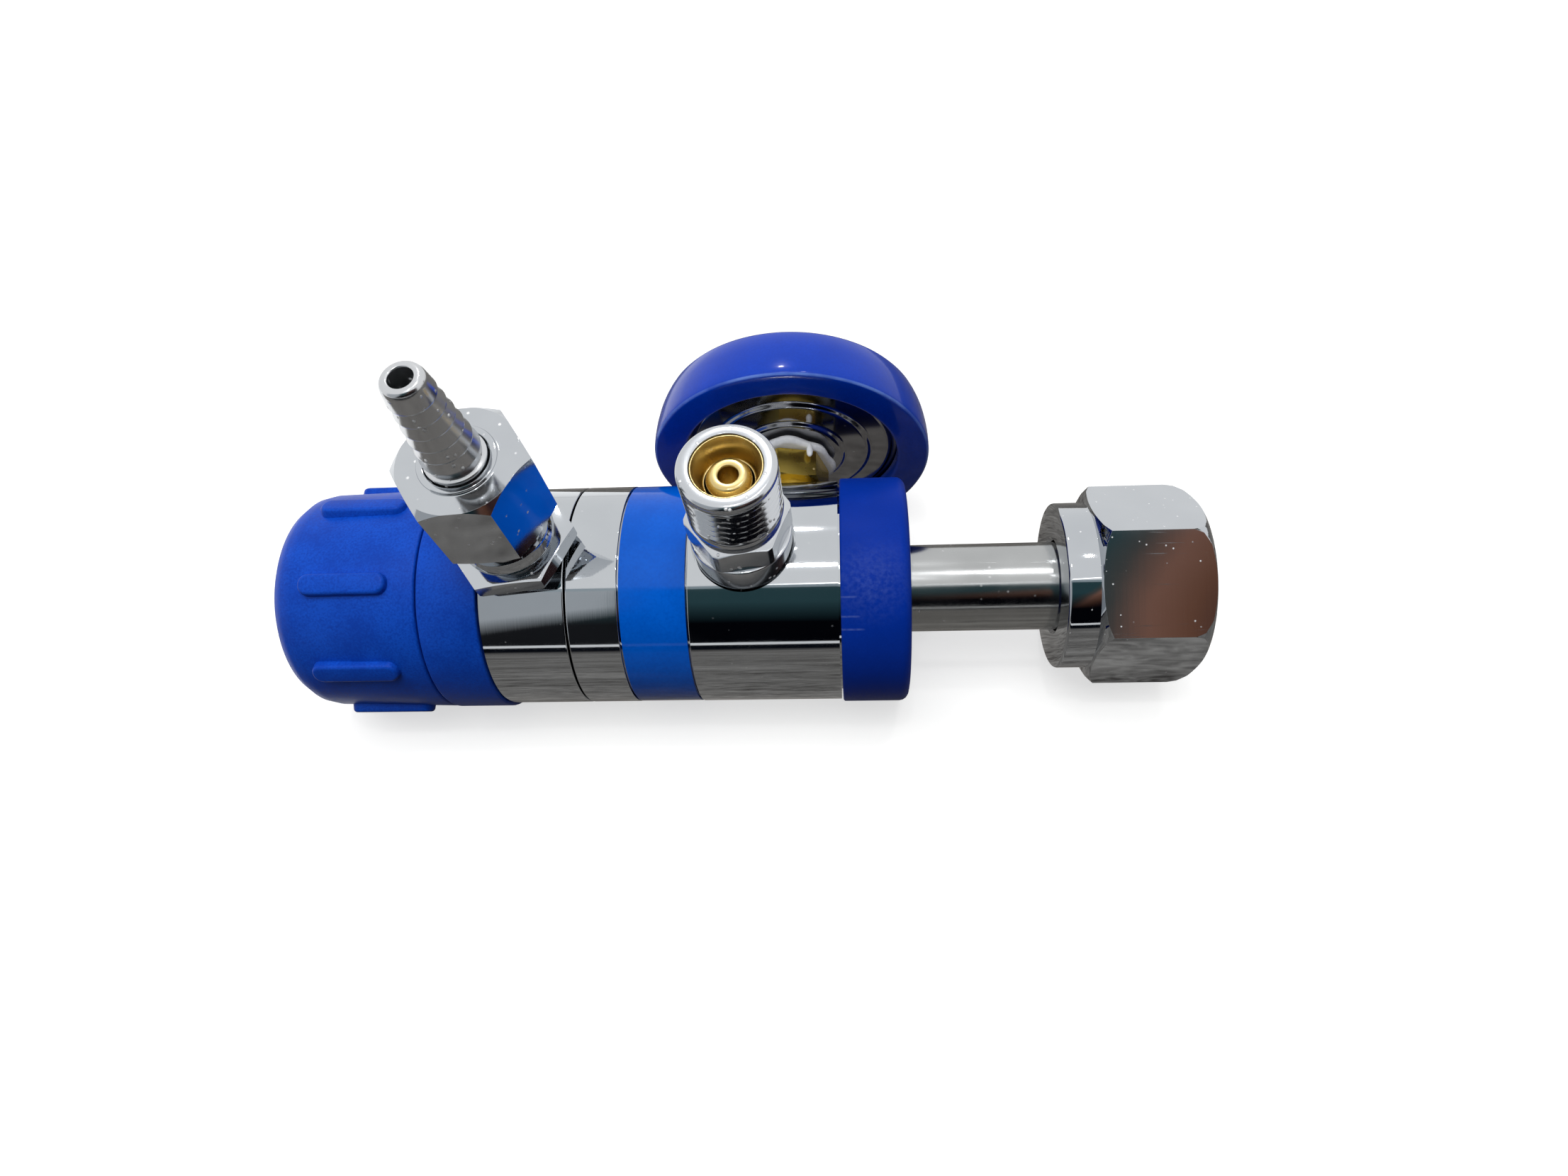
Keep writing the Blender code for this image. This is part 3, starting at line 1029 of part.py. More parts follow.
def main():
    for item in list(bpy.data.objects):
        bpy.data.objects.remove(item)
    looks = make_looks()
    lean = gauge_lean()
    outlet_roll = lean
    barb_roll = lean + math.radians(BARB_ROLL)
    gauge_roll = lean - math.pi / 2
    top = bpy.data.objects.new("regulator", None)
    bpy.context.scene.collection.objects.link(top)
    outlet = shared_empty("outlet_axis", top, OUTLET_STATION, outlet_roll)
    barb = shared_empty("barb_axis", top, BARB_STATION, barb_roll)
    gauge = shared_empty("gauge_axis", top, GAUGE_STATION, gauge_roll)
    build_knob(top, looks["blue"])
    build_spindle(top, looks)
    build_detent(top, looks)
    build_head(top, looks, fitting_frame(BARB_STATION, barb_roll))
    build_body(top, looks, fitting_frame(OUTLET_STATION, outlet_roll), fitting_frame(GAUGE_STATION, gauge_roll))
    build_piston(top, looks)
    build_inlet(top, looks)
    build_threaded_outlet(outlet, looks)
    build_barbed_outlet(barb, looks)
    build_gauge_stem(gauge, looks)
    build_gauge(gauge, looks)
    stand_on_floor(top)


main()
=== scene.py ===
import math

import bmesh
import bpy
from mathutils import Matrix, Vector, noise


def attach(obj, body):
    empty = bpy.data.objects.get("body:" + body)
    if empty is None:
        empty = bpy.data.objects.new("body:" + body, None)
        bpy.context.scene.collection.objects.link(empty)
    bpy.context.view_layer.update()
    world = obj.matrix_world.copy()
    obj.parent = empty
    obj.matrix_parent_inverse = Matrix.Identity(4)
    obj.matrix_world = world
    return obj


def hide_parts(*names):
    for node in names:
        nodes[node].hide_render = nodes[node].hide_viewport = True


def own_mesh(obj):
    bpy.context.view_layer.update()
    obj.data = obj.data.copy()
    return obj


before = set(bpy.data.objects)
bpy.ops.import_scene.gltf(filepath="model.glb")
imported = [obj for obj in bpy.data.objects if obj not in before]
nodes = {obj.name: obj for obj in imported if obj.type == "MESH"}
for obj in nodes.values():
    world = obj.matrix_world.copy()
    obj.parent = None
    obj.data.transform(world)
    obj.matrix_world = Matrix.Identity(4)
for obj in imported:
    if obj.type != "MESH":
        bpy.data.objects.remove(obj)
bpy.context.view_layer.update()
MM = 0.001


# The camera: a phone held over the front of the regulator, close to it, so that the fittings that
# stand up towards it look large. Its place and its lens come from the photograph's own perspective.
CAMERA_PLACE = Vector((18.976, -108.359, 150.381)) * MM
CAMERA_AIM = Vector((7.410, -10.793, 20.382)) * MM
CAMERA_ROLL = -0.1145
forward = (CAMERA_AIM - CAMERA_PLACE).normalized()
level = forward.cross(Vector((0, 0, 1))).normalized()
upright = level.cross(forward)
right = level * math.cos(CAMERA_ROLL) + upright * math.sin(CAMERA_ROLL)
above = upright * math.cos(CAMERA_ROLL) - level * math.sin(CAMERA_ROLL)
facing = Matrix((right, above, -forward)).transposed().to_4x4()
camera_data = bpy.data.cameras.new("photo_camera")
camera_data.sensor_width = 36.0
camera_data.lens = 21.855
camera_data.clip_start = 0.005
camera = bpy.data.objects.new("photo_camera", camera_data)
camera.matrix_world = Matrix.Translation(CAMERA_PLACE) @ facing
bpy.context.scene.collection.objects.link(camera)
bpy.context.scene.camera = camera
bpy.context.scene.view_settings.view_transform = "Standard"


# The white room and its paper: the room is white to the camera and to what mirrors it, and lights the
# object softly at a lower level. The regulator lies on matt white paper, which keeps its shadow.
ROOM_LIGHT = 0.45
PAPER_GLOW = 0.62
PAPER_REACH = 3.0


def linear(code):
    """Linear colour of an sRGB hex value."""
    parts = [int(code[place:place + 2], 16) / 255 for place in (1, 3, 5)]
    return [part / 12.92 if part <= 0.04045 else ((part + 0.055) / 1.055) ** 2.4 for part in parts] + [1.0]


def add(tree, kind, inputs=None, **settings):
    """Add a node, set its properties, and fill its inputs with values or with other nodes' outputs.

    An input goes by its name or its number: a colour Mix has its factor at 0 and its colours at 6 and
    7, and a MapRange goes from the range at 1 and 2 to the one at 3 and 4.
    """
    made = tree.nodes.new("ShaderNode" + kind)
    for name, value in settings.items():
        setattr(made, name, value)
    for name, value in (inputs or {}).items():
        if isinstance(value, bpy.types.NodeSocket):
            tree.links.new(value, made.inputs[name])
        else:
            made.inputs[name].default_value = value
    return made


def seen_directly(tree):
    """1 for rays from the camera, from a mirror or through glass, and 0 for soft light."""
    path = add(tree, "LightPath").outputs
    either = add(tree, "Math", {0: path["Is Camera Ray"], 1: path["Is Glossy Ray"]}, operation="MAXIMUM")
    either = add(tree, "Math", {0: either.outputs[0], 1: path["Is Transmission Ray"]}, operation="MAXIMUM")
    return either.outputs[0]


def new_material(name, shaded=True):
    """A new material and the tree of its nodes, which holds the usual shader where it is shaded."""
    made = bpy.data.materials.new(name)
    made.use_nodes = True
    if not shaded:
        made.node_tree.nodes.remove(made.node_tree.nodes["Principled BSDF"])
    return made, made.node_tree


def placed(name, shape, look=None):
    """Put a shape, which is used up, into the scene as an object with a material."""
    mesh = bpy.data.meshes.new(name)
    shape.to_mesh(mesh)
    shape.free()
    if look:
        mesh.materials.append(look)
    made = bpy.data.objects.new(name, mesh)
    bpy.context.scene.collection.objects.link(made)
    return made


def stage_sheet(name, corners, look):
    """A flat sheet of the studio, given by its corners in metres."""
    shape = bmesh.new()
    shape.faces.new([shape.verts.new(corner) for corner in corners])
    made = placed(name, shape, look)
    return made


world = bpy.data.worlds.new("white_room")
world.use_nodes = True
bpy.context.scene.world = world
tree = world.node_tree
strength = {0: seen_directly(tree), 1: 1 - ROOM_LIGHT, 2: ROOM_LIGHT}
strength = add(tree, "Math", strength, operation="MULTIPLY_ADD")
tree.nodes["Background"].inputs["Color"].default_value = (1, 1, 1, 1)
tree.links.new(strength.outputs[0], tree.nodes["Background"].inputs["Strength"])

# Matt white paper: no gloss, and a glow that only the camera and mirrors meet. Its grain is too fine to
# show and is drawn 1 mm wide. Its bounce is that of a dark bench, so that the undersides stay deep.
paper_look, tree = new_material("matt_white_paper", shaded=False)
seen = seen_directly(tree)
grain = add(tree, "TexNoise", {"Vector": add(tree, "TexCoord").outputs["Object"], "Scale": 900.0})
paper = {0: grain.outputs["Fac"], 6: linear("#bcbcbb"), 7: linear("#c2c2c1")}
bounce = {0: seen, 6: linear("#343332"), 7: add(tree, "Mix", paper, data_type="RGBA").outputs[2]}
lit = add(tree, "BsdfDiffuse", {"Color": add(tree, "Mix", bounce, data_type="RGBA").outputs[2]})
strength = add(tree, "Math", {0: seen, 1: PAPER_GLOW}, operation="MULTIPLY")
glow = add(tree, "Emission", {"Color": (1, 1, 1, 1), "Strength": strength.outputs[0]})
both = add(tree, "AddShader", {0: lit.outputs[0], 1: glow.outputs[0]})
tree.links.new(both.outputs[0], tree.nodes["Material Output"].inputs["Surface"])
square = ((-1, -1), (1, -1), (1, 1), (-1, 1))
stage_sheet("paper_sweep", [(x * PAPER_REACH, y * PAPER_REACH, 0) for x, y in square], paper_look)


# The dark cloth: it hangs across the front, behind the camera, and gives the chrome its dark band. Its
# glow is a painted reflection: it runs from teal to brown along a slant, darkens to black towards its foot,
# and is painted pale at its upper left end.
CLOTH_Y = -0.65
CLOTH_FOOT = 0.03
CLOTH_TOP_LEFT = 1.10
CLOTH_TOP_RIGHT = 1.13
CLOTH_REACH = 1.4
# Glowing cloth: its colours are a painted reflection, and change slowly, bent by a soft wobble a third of a
# metre wide. It glows though it is no lamp, so that the chrome mirrors its colours as they are.
cloth_look, tree = new_material("dark_cloth_painted_reflection", shaded=False)
where = add(tree, "TexCoord").outputs["Object"]
place = add(tree, "SeparateXYZ", {"Vector": where}).outputs
tint_wobble = add(tree, "TexNoise", {"Vector": where, "Scale": 3.0, "Detail": 3.0})
across = add(tree, "Math", {0: place["X"], 1: 8.3, 2: -2.45}, operation="MULTIPLY_ADD")
down = add(tree, "Math", {0: place["Z"], 1: -4.5, 2: 3.5}, operation="MULTIPLY_ADD")
slant = add(tree, "Math", {0: across.outputs[0], 1: down.outputs[0]}, operation="ADD")
bent = add(tree, "Math", {0: tint_wobble.outputs["Fac"], 1: 0.8, 2: slant.outputs[0]}, operation="MULTIPLY_ADD")
share = add(tree, "MapRange", {"Value": bent.outputs[0], 1: -0.6, 2: 2.0})
reflection_tint = add(tree, "ValToRGB", {"Fac": share.outputs[0]})
reflection_tint.color_ramp.elements[0].position = 0.25
reflection_tint.color_ramp.elements[0].color = linear("#2f4a4f")
reflection_tint.color_ramp.elements[1].position = 1.0
reflection_tint.color_ramp.elements[1].color = linear("#3f2c2d")
for stop, colour in ((0.42, "#4a4b49"), (0.58, "#8a6354"), (0.76, "#76503f")):
    reflection_tint.color_ramp.elements.new(stop).color = linear(colour)
# Painted reflection: the glow darkens to near black towards the cloth's foot.
lit = add(tree, "MapRange", {"Value": place["Z"], 1: 0.28, 2: 0.62})
shade = {0: lit.outputs[0], 6: linear("#04050a"), 7: reflection_tint.outputs["Color"]}
shade = add(tree, "Mix", shade, data_type="RGBA").outputs[2]
# Painted reflection: the glow turns pale at the cloth's upper left end.
edge = add(tree, "Math", {0: place["Z"], 1: 0.163, 2: place["X"]}, operation="MULTIPLY_ADD").outputs[0]
beyond = add(tree, "MapRange", {"Value": edge, 1: -0.085, 2: -0.15})
pale_slant = add(tree, "Math", {0: edge, 1: -1.7, 2: place["Z"]}, operation="MULTIPLY_ADD")
pale_rise = add(tree, "MapRange", {"Value": pale_slant.outputs[0], 1: 0.62, 2: 0.82, 3: 0.02, 4: 0.85})
painted_pale_end = add(tree, "Math", {0: beyond.outputs[0], 1: pale_rise.outputs[0]}, operation="MULTIPLY")
shade = add(tree, "Mix", {0: painted_pale_end.outputs[0], 6: shade, 7: linear("#c6cace")}, data_type="RGBA").outputs[2]
# Painted reflection: a pale strip along the cloth's top.
strip = add(tree, "MapRange", {"Value": place["Z"], 1: 0.985, 2: 1.02, 3: 0.0, 4: 0.8})
shade = add(tree, "Mix", {0: strip.outputs[0], 6: shade, 7: linear("#a9b6bc")}, data_type="RGBA").outputs[2]
glow = add(tree, "Emission", {"Color": shade, "Strength": 1.0})
tree.links.new(glow.outputs[0], tree.nodes["Material Output"].inputs["Surface"])
cloth = stage_sheet("front_cloth", [(x, CLOTH_Y, z) for x, z in (
    (-CLOTH_REACH, CLOTH_FOOT), (CLOTH_REACH, CLOTH_FOOT),
    (CLOTH_REACH, CLOTH_TOP_RIGHT), (-CLOTH_REACH, CLOTH_TOP_LEFT),
)], cloth_look)
cloth.visible_camera = False
cloth.visible_shadow = False


# The grey plank: it lies on the paper under the regulator and shows only in what mirrors it, which is
# the low side of the chrome. Its far left corner is cut out, so that the nipple mirrors white there.
PLANK_Z = 0.0004
PLANK_LEFT = -0.45
PLANK_RIGHT = 1.4
PLANK_FRONT = -0.64
PLANK_BACK = 0.30
CUT_OUT = (-0.06, -0.03)
# Weathered grey wood: veins 10 mm apart and pores 1 mm wide, both drawn out along the plank. Towards
# the front it is painted dark, a painted shadow. Like the cloth, it glows though it is no lamp, so its wood
# is a painted reflection.
plank_look, tree = new_material("grey_plank_painted_reflection", shaded=False)
where = add(tree, "TexCoord").outputs["Object"]
drawn_out = add(tree, "Mapping", {"Vector": where, "Scale": (3.0, 26.0, 1.0)}).outputs[0]
veins = add(tree, "TexNoise", {"Vector": drawn_out, "Scale": 4.0, "Detail": 6.0, "Distortion": 1.2})
pores = add(tree, "TexNoise", {"Vector": drawn_out, "Scale": 45.0, "Detail": 3.0, "Distortion": 2.0})
vein = add(tree, "Math", {0: veins.outputs["Fac"], 1: pores.outputs["Fac"]}, operation="ADD")
vein = add(tree, "MapRange", {"Value": vein.outputs[0], 1: 0.72, 2: 1.28})
wood = {0: vein.outputs[0], 6: linear("#454240"), 7: linear("#9d9a96")}
wood = add(tree, "Mix", wood, data_type="RGBA").outputs[2]
# Painted shadow: the wood darkens towards the front.
depth = add(tree, "SeparateXYZ", {"Vector": where}).outputs["Y"]
shadow = add(tree, "MapRange", {"Value": depth, 1: -0.16, 2: -0.24})
wood = add(tree, "Mix", {0: shadow.outputs[0], 6: wood, 7: linear("#0b0f16")}, data_type="RGBA").outputs[2]
glow = add(tree, "Emission", {"Color": wood, "Strength": 1.0})
tree.links.new(glow.outputs[0], tree.nodes["Material Output"].inputs["Surface"])
plank = stage_sheet("grey_plank", [(x, y, PLANK_Z) for x, y in (
    (PLANK_LEFT, PLANK_FRONT), (PLANK_RIGHT, PLANK_FRONT), (PLANK_RIGHT, PLANK_BACK),
    (CUT_OUT[0], PLANK_BACK), CUT_OUT, (PLANK_LEFT, CUT_OUT[1]),
)], plank_look)
for kind in ("camera", "diffuse", "transmission", "shadow"):
    setattr(plank, "visible_" + kind, False)


# The lamps: a large softbox overhead, which no mirror shows, three small downlights that give the
# edges their sparks, and a tube over the cloth that draws the pale line on the chrome.
LAMP_AIM = (0, 0, 0.02)


def lamp(name, place, size, power):
    """A rectangular lamp that faces the regulator. Sizes are in metres."""
    data = bpy.data.lights.new(name, "AREA")
    data.shape = "RECTANGLE"
    data.size, data.size_y = size
    data.energy = power
    made = bpy.data.objects.new(name, data)
    made.location = place
    made.rotation_euler = (Vector(LAMP_AIM) - Vector(place)).to_track_quat("-Z", "Y").to_euler()
    bpy.context.scene.collection.objects.link(made)
    return made


overhead = lamp("overhead_softbox", (-0.10, -0.16, 0.85), (0.7, 0.5), 4.6)
overhead.visible_glossy = False
lamp("downlight_back", (-0.09, 0.66, 1.25), (0.07, 0.07), 1.8)
lamp("downlight_right", (0.30, 0.05, 1.45), (0.07, 0.07), 1.6)
lamp("downlight_front", (-0.05, -0.30, 1.50), (0.06, 0.06), 1.2)
tube = lamp("front_tube", (0.1, -0.64, 1.15), (1.5, 0.016), 0.25)
tube.visible_camera = False


# The barrel: two turned brass pieces, chrome plated and polished on the lathe. The flow head carries
# the barbed outlet, and the main body the threaded outlet and the gauge. A fine seam parts them.
# Lengths are in mm from the knob's end face, and a fitting's heights are from the barrel's axis.
BARREL_START = -74.85
BARREL_Y = -10.7925
BARREL_Z = 19.5569
BARREL_RADIUS = 18.5
BARREL_STEPS = 192
LEAN = math.asin(0.1859)
BARB_ROLL = math.radians(0.6)
OUTLET_X = 2.3
BARB_X = -33.55
GAUGE_X = 8.4
PIECE_GAP = 0.3
HEAD_START = 35.6
HEAD_END = 49.1
HEAD_SPIGOT = 17.1
HEAD_BORE = 3.3
BODY_START = HEAD_END + PIECE_GAP
BODY_END = 100.8
BODY_BORE = 14.0
LABEL_START = 57.8
LABEL_END = 68.2
LABEL_GROOVE = 17.85
BUMPER_START = 92.1
BUMPER_SEAT = 16.8
along_x = Matrix(((0, 0, 1), (1, 0, 0), (0, 1, 0))).to_4x4()
barrel_frame = Matrix.Translation(Vector((BARREL_START, BARREL_Y, BARREL_Z)) * MM) @ along_x


def fitting_frame(place, roll):
    """The frame of a fitting, whose Z axis leaves the barrel's axis at a place in mm along X."""
    return Matrix.Translation(Vector((place, BARREL_Y, BARREL_Z)) * MM) @ Matrix.Rotation(roll, 4, "X")


outlet_frame = fitting_frame(OUTLET_X, LEAN)
barb_frame = fitting_frame(BARB_X, LEAN + BARB_ROLL)
gauge_frame = fitting_frame(GAUGE_X, LEAN - math.pi / 2)


def turned(outline, steps):
    """Spin an outline about Z. Its points are (distance, radius) in mm, with an edge rounding as a third."""
    shape = bmesh.new()
    points = [shape.verts.new((item[1] * MM, 0, item[0] * MM)) for item in outline]
    for pair in zip(points, points[1:]):
        shape.edges.new(pair)
    if outline[0][1] > 0:
        shape.edges.new((points[-1], points[0]))
    for point, item in zip(points, outline):
        if len(item) > 2:
            bmesh.ops.bevel(shape, geom=[point], offset=item[2] * MM, offset_type="OFFSET", segments=4,
                            profile=0.5, affect="VERTICES", material=-1)
    bmesh.ops.spin(shape, geom=shape.verts[:] + shape.edges[:], cent=(0, 0, 0), axis=(0, 0, 1),
                   angle=math.tau, steps=steps, use_merge=True, use_duplicate=False)
    bmesh.ops.remove_doubles(shape, verts=shape.verts, dist=0.0005 * MM)
    bmesh.ops.recalc_face_normals(shape, faces=shape.faces)
    if shape.calc_volume(signed=True) < 0:
        bmesh.ops.reverse_faces(shape, faces=shape.faces)
    return shape


def piece(name, shape, place, look, node, body="regulator", edge=0.0):
    """Make a shape a named piece in its frame, in place of a CAD node. edge rounds its edges, in mm."""
    shape.transform(place)
    made = placed(name, shape, look)
    sharp_angle = math.radians(28)
    made.data.shade_smooth()
    made.data.set_sharp_from_angle(angle=sharp_angle)
    if edge:
        soften = made.modifiers.new("worn_edges", "BEVEL")
        soften.width = edge * MM
        soften.segments = 2
        soften.limit_method = "ANGLE"
        soften.angle_limit = sharp_angle
        soften.harden_normals = True
    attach(made, body)
    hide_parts(node)
    return made


def drilled(shape, hole):
    """Cut a shape with another one in the same frame. Both are used up."""
    pair = [placed("drilling", item) for item in (shape, hole)]
    cut = pair[0].modifiers.new("cut", "BOOLEAN")
    cut.operation = "DIFFERENCE"
    cut.object = pair[1]
    cut.solver = "EXACT"
    bpy.context.view_layer.update()
    result = bmesh.new()
    result.from_object(pair[0], bpy.context.evaluated_depsgraph_get())
    for made in pair:
        used = made.data
        bpy.data.objects.remove(made)
        bpy.data.meshes.remove(used)
    return result


def true_round(made, radius):
    """Give a round wall on the barrel's axis the exact normals of a cylinder, so that it mirrors evenly."""
    mesh = made.data
    normals = []
    for face in mesh.polygons:
        for corner in face.loop_indices:
            spoke = mesh.vertices[mesh.loops[corner].vertex_index].co - Vector((0, BARREL_Y, BARREL_Z)) * MM
            spoke.x = 0
            on_wall = abs(face.normal.x) < 0.05 and abs(spoke.length - radius * MM) < 0.02 * MM
            if on_wall and face.normal.dot(spoke) > 0.9 * spoke.length:
                normals.append(spoke.normalized())
            else:
                normals.append(mesh.corner_normals[corner].vector.copy())
    mesh.normals_split_custom_set(normals)


def metal(name, light, dark, roughness, place, mark, depth,
          scratches=0.0, specks=0.0, crowd=0.17, speck=0.2, bead=0.0):
    """A metal turned about the Z axis of a frame, with tool marks of a width and a depth in mm.

    Between light and dark lie faint clouds of handling, 9 mm wide. Scratches, specks and crowd are
    shares from 0 to 1: how strong they are, and how many places hold a speck. A speck is a whitish spot
    of painted glint. speck is a speck's radius and bead how far it stands up, both in mm; a bead is a real
    bump. Real tool marks and hairlines are too fine to show, so both are drawn coarser.
    """
    made, tree = new_material(name)
    shader = tree.nodes["Principled BSDF"]
    shader.inputs["Metallic"].default_value = 1.0
    where = add(tree, "TexCoord").outputs["Object"]
    at = {"Vector": where, "Location": place.to_translation(), "Rotation": place.to_euler()}
    local = add(tree, "Mapping", at, vector_type="TEXTURE").outputs[0]
    clouds = add(tree, "TexNoise", {"Vector": where, "Scale": 110.0, "Detail": 3.0}).outputs["Fac"]
    rings_at = add(tree, "VectorMath", {0: local, 1: (0.02, 0.02, 1.0)}, operation="MULTIPLY").outputs[0]
    rings = add(tree, "TexNoise", {"Vector": rings_at, "Scale": 1000.0 / mark, "Detail": 2.0})
    colour = add(tree, "Mix", {0: clouds, 6: linear(dark), 7: linear(light)}, data_type="RGBA").outputs[2]
    rough = {"Value": clouds, 1: 0.3, 2: 0.75, 3: roughness * 0.8, 4: roughness * 1.3}
    rough = add(tree, "MapRange", rough).outputs[0]
    height = rings.outputs["Fac"]
    if scratches:
        # Hairlines half a millimetre apart and thirty times as long, in patches 4 mm wide.
        along = {"Vector": local, "Rotation": (0.5, 0.9, 0.4), "Scale": (1.0, 1.0, 0.03)}
        along = add(tree, "Mapping", along).outputs[0]
        hair = add(tree, "TexNoise", {"Vector": along, "Scale": 2200.0, "Detail": 2.0})
        patch = add(tree, "TexNoise", {"Vector": where, "Scale": 240.0, "Detail": 2.0})
        line = add(tree, "MapRange", {"Value": hair.outputs["Fac"], 1: 0.66, 2: 0.72, 3: 0.0, 4: scratches})
        held = add(tree, "MapRange", {"Value": patch.outputs["Fac"], 1: 0.45, 2: 0.62})
        line = add(tree, "Math", {0: line.outputs[0], 1: held.outputs[0]}, operation="MULTIPLY").outputs[0]
        rough = add(tree, "Math", {0: line, 1: 0.35, 2: rough}, operation="MULTIPLY_ADD").outputs[0]
        height = add(tree, "Math", {0: line, 1: 0.8, 2: height}, operation="MULTIPLY_ADD").outputs[0]
    if specks:
        # A speck's radius is 0.14 of its cell. It is a whitish spot of painted glint, rougher and less
        # metallic, and it may stand up as a bead, a real bump.
        cells = add(tree, "TexVoronoi", {"Vector": where, "Scale": 140.0 / speck})
        dot = add(tree, "MapRange", {"Value": cells.outputs["Distance"], 1: 0.08, 2: 0.18, 3: specks, 4: 0.0})
        lot = add(tree, "SeparateColor", {"Color": cells.outputs["Color"]}).outputs[0]
        some = add(tree, "MapRange", {"Value": lot, 1: 1 - crowd, 2: 1.02 - crowd})
        dot = add(tree, "Math", {0: dot.outputs[0], 1: some.outputs[0]}, operation="MULTIPLY").outputs[0]
        colour = add(tree, "Mix", {0: dot, 6: colour, 7: linear("#f2f3f4")}, data_type="RGBA").outputs[2]
        rough = add(tree, "Math", {0: dot, 1: 0.4, 2: rough}, operation="MULTIPLY_ADD").outputs[0]
        height = add(tree, "Math", {0: dot, 1: bead / depth, 2: height}, operation="MULTIPLY_ADD").outputs[0]
        bare = add(tree, "Math", {0: dot, 1: -0.8, 2: 1.0}, operation="MULTIPLY_ADD")
        tree.links.new(bare.outputs[0], shader.inputs["Metallic"])
    bump = add(tree, "Bump", {"Height": height, "Distance": depth * MM, "Strength": 1.0})
    tree.links.new(colour, shader.inputs["Base Color"])
    tree.links.new(rough, shader.inputs["Roughness"])
    tree.links.new(bump.outputs[0], shader.inputs["Normal"])
    return made


# Bright chrome over turned brass: a mirror, with rings from the tool 0.22 mm apart, a few dull clouds
# and here and there a tiny whitish speck of painted glint.
barrel_chrome = metal("bright_chrome_turned", "#c4c8cc", "#b9bdc1", roughness=0.05, place=barrel_frame,
                      mark=0.22, depth=0.0017, specks=0.3, crowd=0.10, speck=0.16)
head = turned([
    (15.1, HEAD_BORE), (15.1, 9.0), (26.0, 9.0), (26.0, HEAD_SPIGOT), (HEAD_START, HEAD_SPIGOT),
    (HEAD_START, BARREL_RADIUS), (HEAD_END, BARREL_RADIUS, 0.2), (HEAD_END, BODY_BORE - PIECE_GAP),
    (55.1, BODY_BORE - PIECE_GAP), (55.1, 9.9), (46.6, 9.9), (46.6, HEAD_BORE),
], BARREL_STEPS)
head_piece = piece("flow_head_chrome", head, barrel_frame, barrel_chrome, "flow_head")
body = turned([
    (BODY_START, BODY_BORE), (BODY_START, BARREL_RADIUS, 0.2), (LABEL_START - PIECE_GAP, BARREL_RADIUS, 0.12),
    (LABEL_START - PIECE_GAP, LABEL_GROOVE), (LABEL_END + PIECE_GAP, LABEL_GROOVE),
    (LABEL_END + PIECE_GAP, BARREL_RADIUS, 0.12), (BUMPER_START - PIECE_GAP, BARREL_RADIUS),
    (BUMPER_START - PIECE_GAP, BUMPER_SEAT), (BODY_END, BUMPER_SEAT), (BODY_END, 7.65),
    (91.8, 7.65), (91.8, 5.5), (81.55, 5.5), (81.55, 1.6), (79.25, 1.6), (79.25, BODY_BORE),
], BARREL_STEPS)
# The stepped bore that takes the threaded outlet, and the one for the gauge's stem.
recess = turned([(13.0, 0), (13.0, 5.3), (16.4, 5.3), (16.4, 8.15), (19.5, 8.15), (19.5, 0)], 128)
recess.transform(barrel_frame.inverted() @ outlet_frame)
port = turned([(11.0, 0), (11.0, 4.9), (19.5, 4.9), (19.5, 0)], 64)
port.transform(barrel_frame.inverted() @ gauge_frame)
body_piece = piece("main_body_chrome", drilled(drilled(body, recess), port), barrel_frame, barrel_chrome,
                   "main_body")
true_round(head_piece, BARREL_RADIUS)
true_round(body_piece, BARREL_RADIUS)


# The label band: a glossy blue film, stuck in a shallow groove that is turned round the main body.
# Its surface lies a little below the chrome on either side.
LABEL_RADIUS = 18.45


def moulded(name, light, dark, roughness, grain, depth, coat=0.0, gloss=0.5):
    """A moulded plastic or rubber, with a grain of a size and a depth in mm, and clouds 6 mm wide.

    A real grain is too fine to show, so it is drawn coarser.
    """
    made, tree = new_material(name)
    shader = tree.nodes["Principled BSDF"]
    shader.inputs["IOR"].default_value = 1.5
    shader.inputs["Specular IOR Level"].default_value = gloss
    shader.inputs["Coat Weight"].default_value = coat
    shader.inputs["Coat Roughness"].default_value = 0.06
    where = add(tree, "TexCoord").outputs["Object"]
    clouds = add(tree, "TexNoise", {"Vector": where, "Scale": 160.0, "Detail": 4.0})
    pits = add(tree, "TexNoise", {"Vector": where, "Scale": 1000.0 / grain, "Detail": 2.0}).outputs["Fac"]
    share = add(tree, "Math", {0: clouds.outputs["Fac"], 1: pits}, operation="MULTIPLY")
    spread = add(tree, "MapRange", {"Value": share.outputs[0], 1: 0.15, 2: 0.36})
    colour = add(tree, "Mix", {0: spread.outputs[0], 6: linear(dark), 7: linear(light)}, data_type="RGBA")
    colour.name = "colour"
    rough = add(tree, "MapRange", {"Value": pits, 1: 0.3, 2: 0.7, 3: roughness * 0.9, 4: roughness * 1.12})
    bump = add(tree, "Bump", {"Height": pits, "Distance": depth * MM, "Strength": 1.0})
    tree.links.new(colour.outputs[2], shader.inputs["Base Color"])
    tree.links.new(rough.outputs[0], shader.inputs["Roughness"])
    tree.links.new(bump.outputs[0], shader.inputs["Normal"])
    return made


# Gloss film: a clear bright blue with a smooth top, which mirrors the room faintly.
film_look = moulded("gloss_film_printed_blue", "#025ccc", "#0055c2", roughness=0.09, grain=0.5, depth=0.0004,
                    coat=0.08, gloss=0.12)
band = turned([
    (LABEL_START, 18.0), (LABEL_START, LABEL_RADIUS, 0.06),
    (LABEL_END, LABEL_RADIUS, 0.06), (LABEL_END, 18.0),
], BARREL_STEPS)
band_piece = piece("label_film", band, barrel_frame, film_look, "label_band")
true_round(band_piece, LABEL_RADIUS)


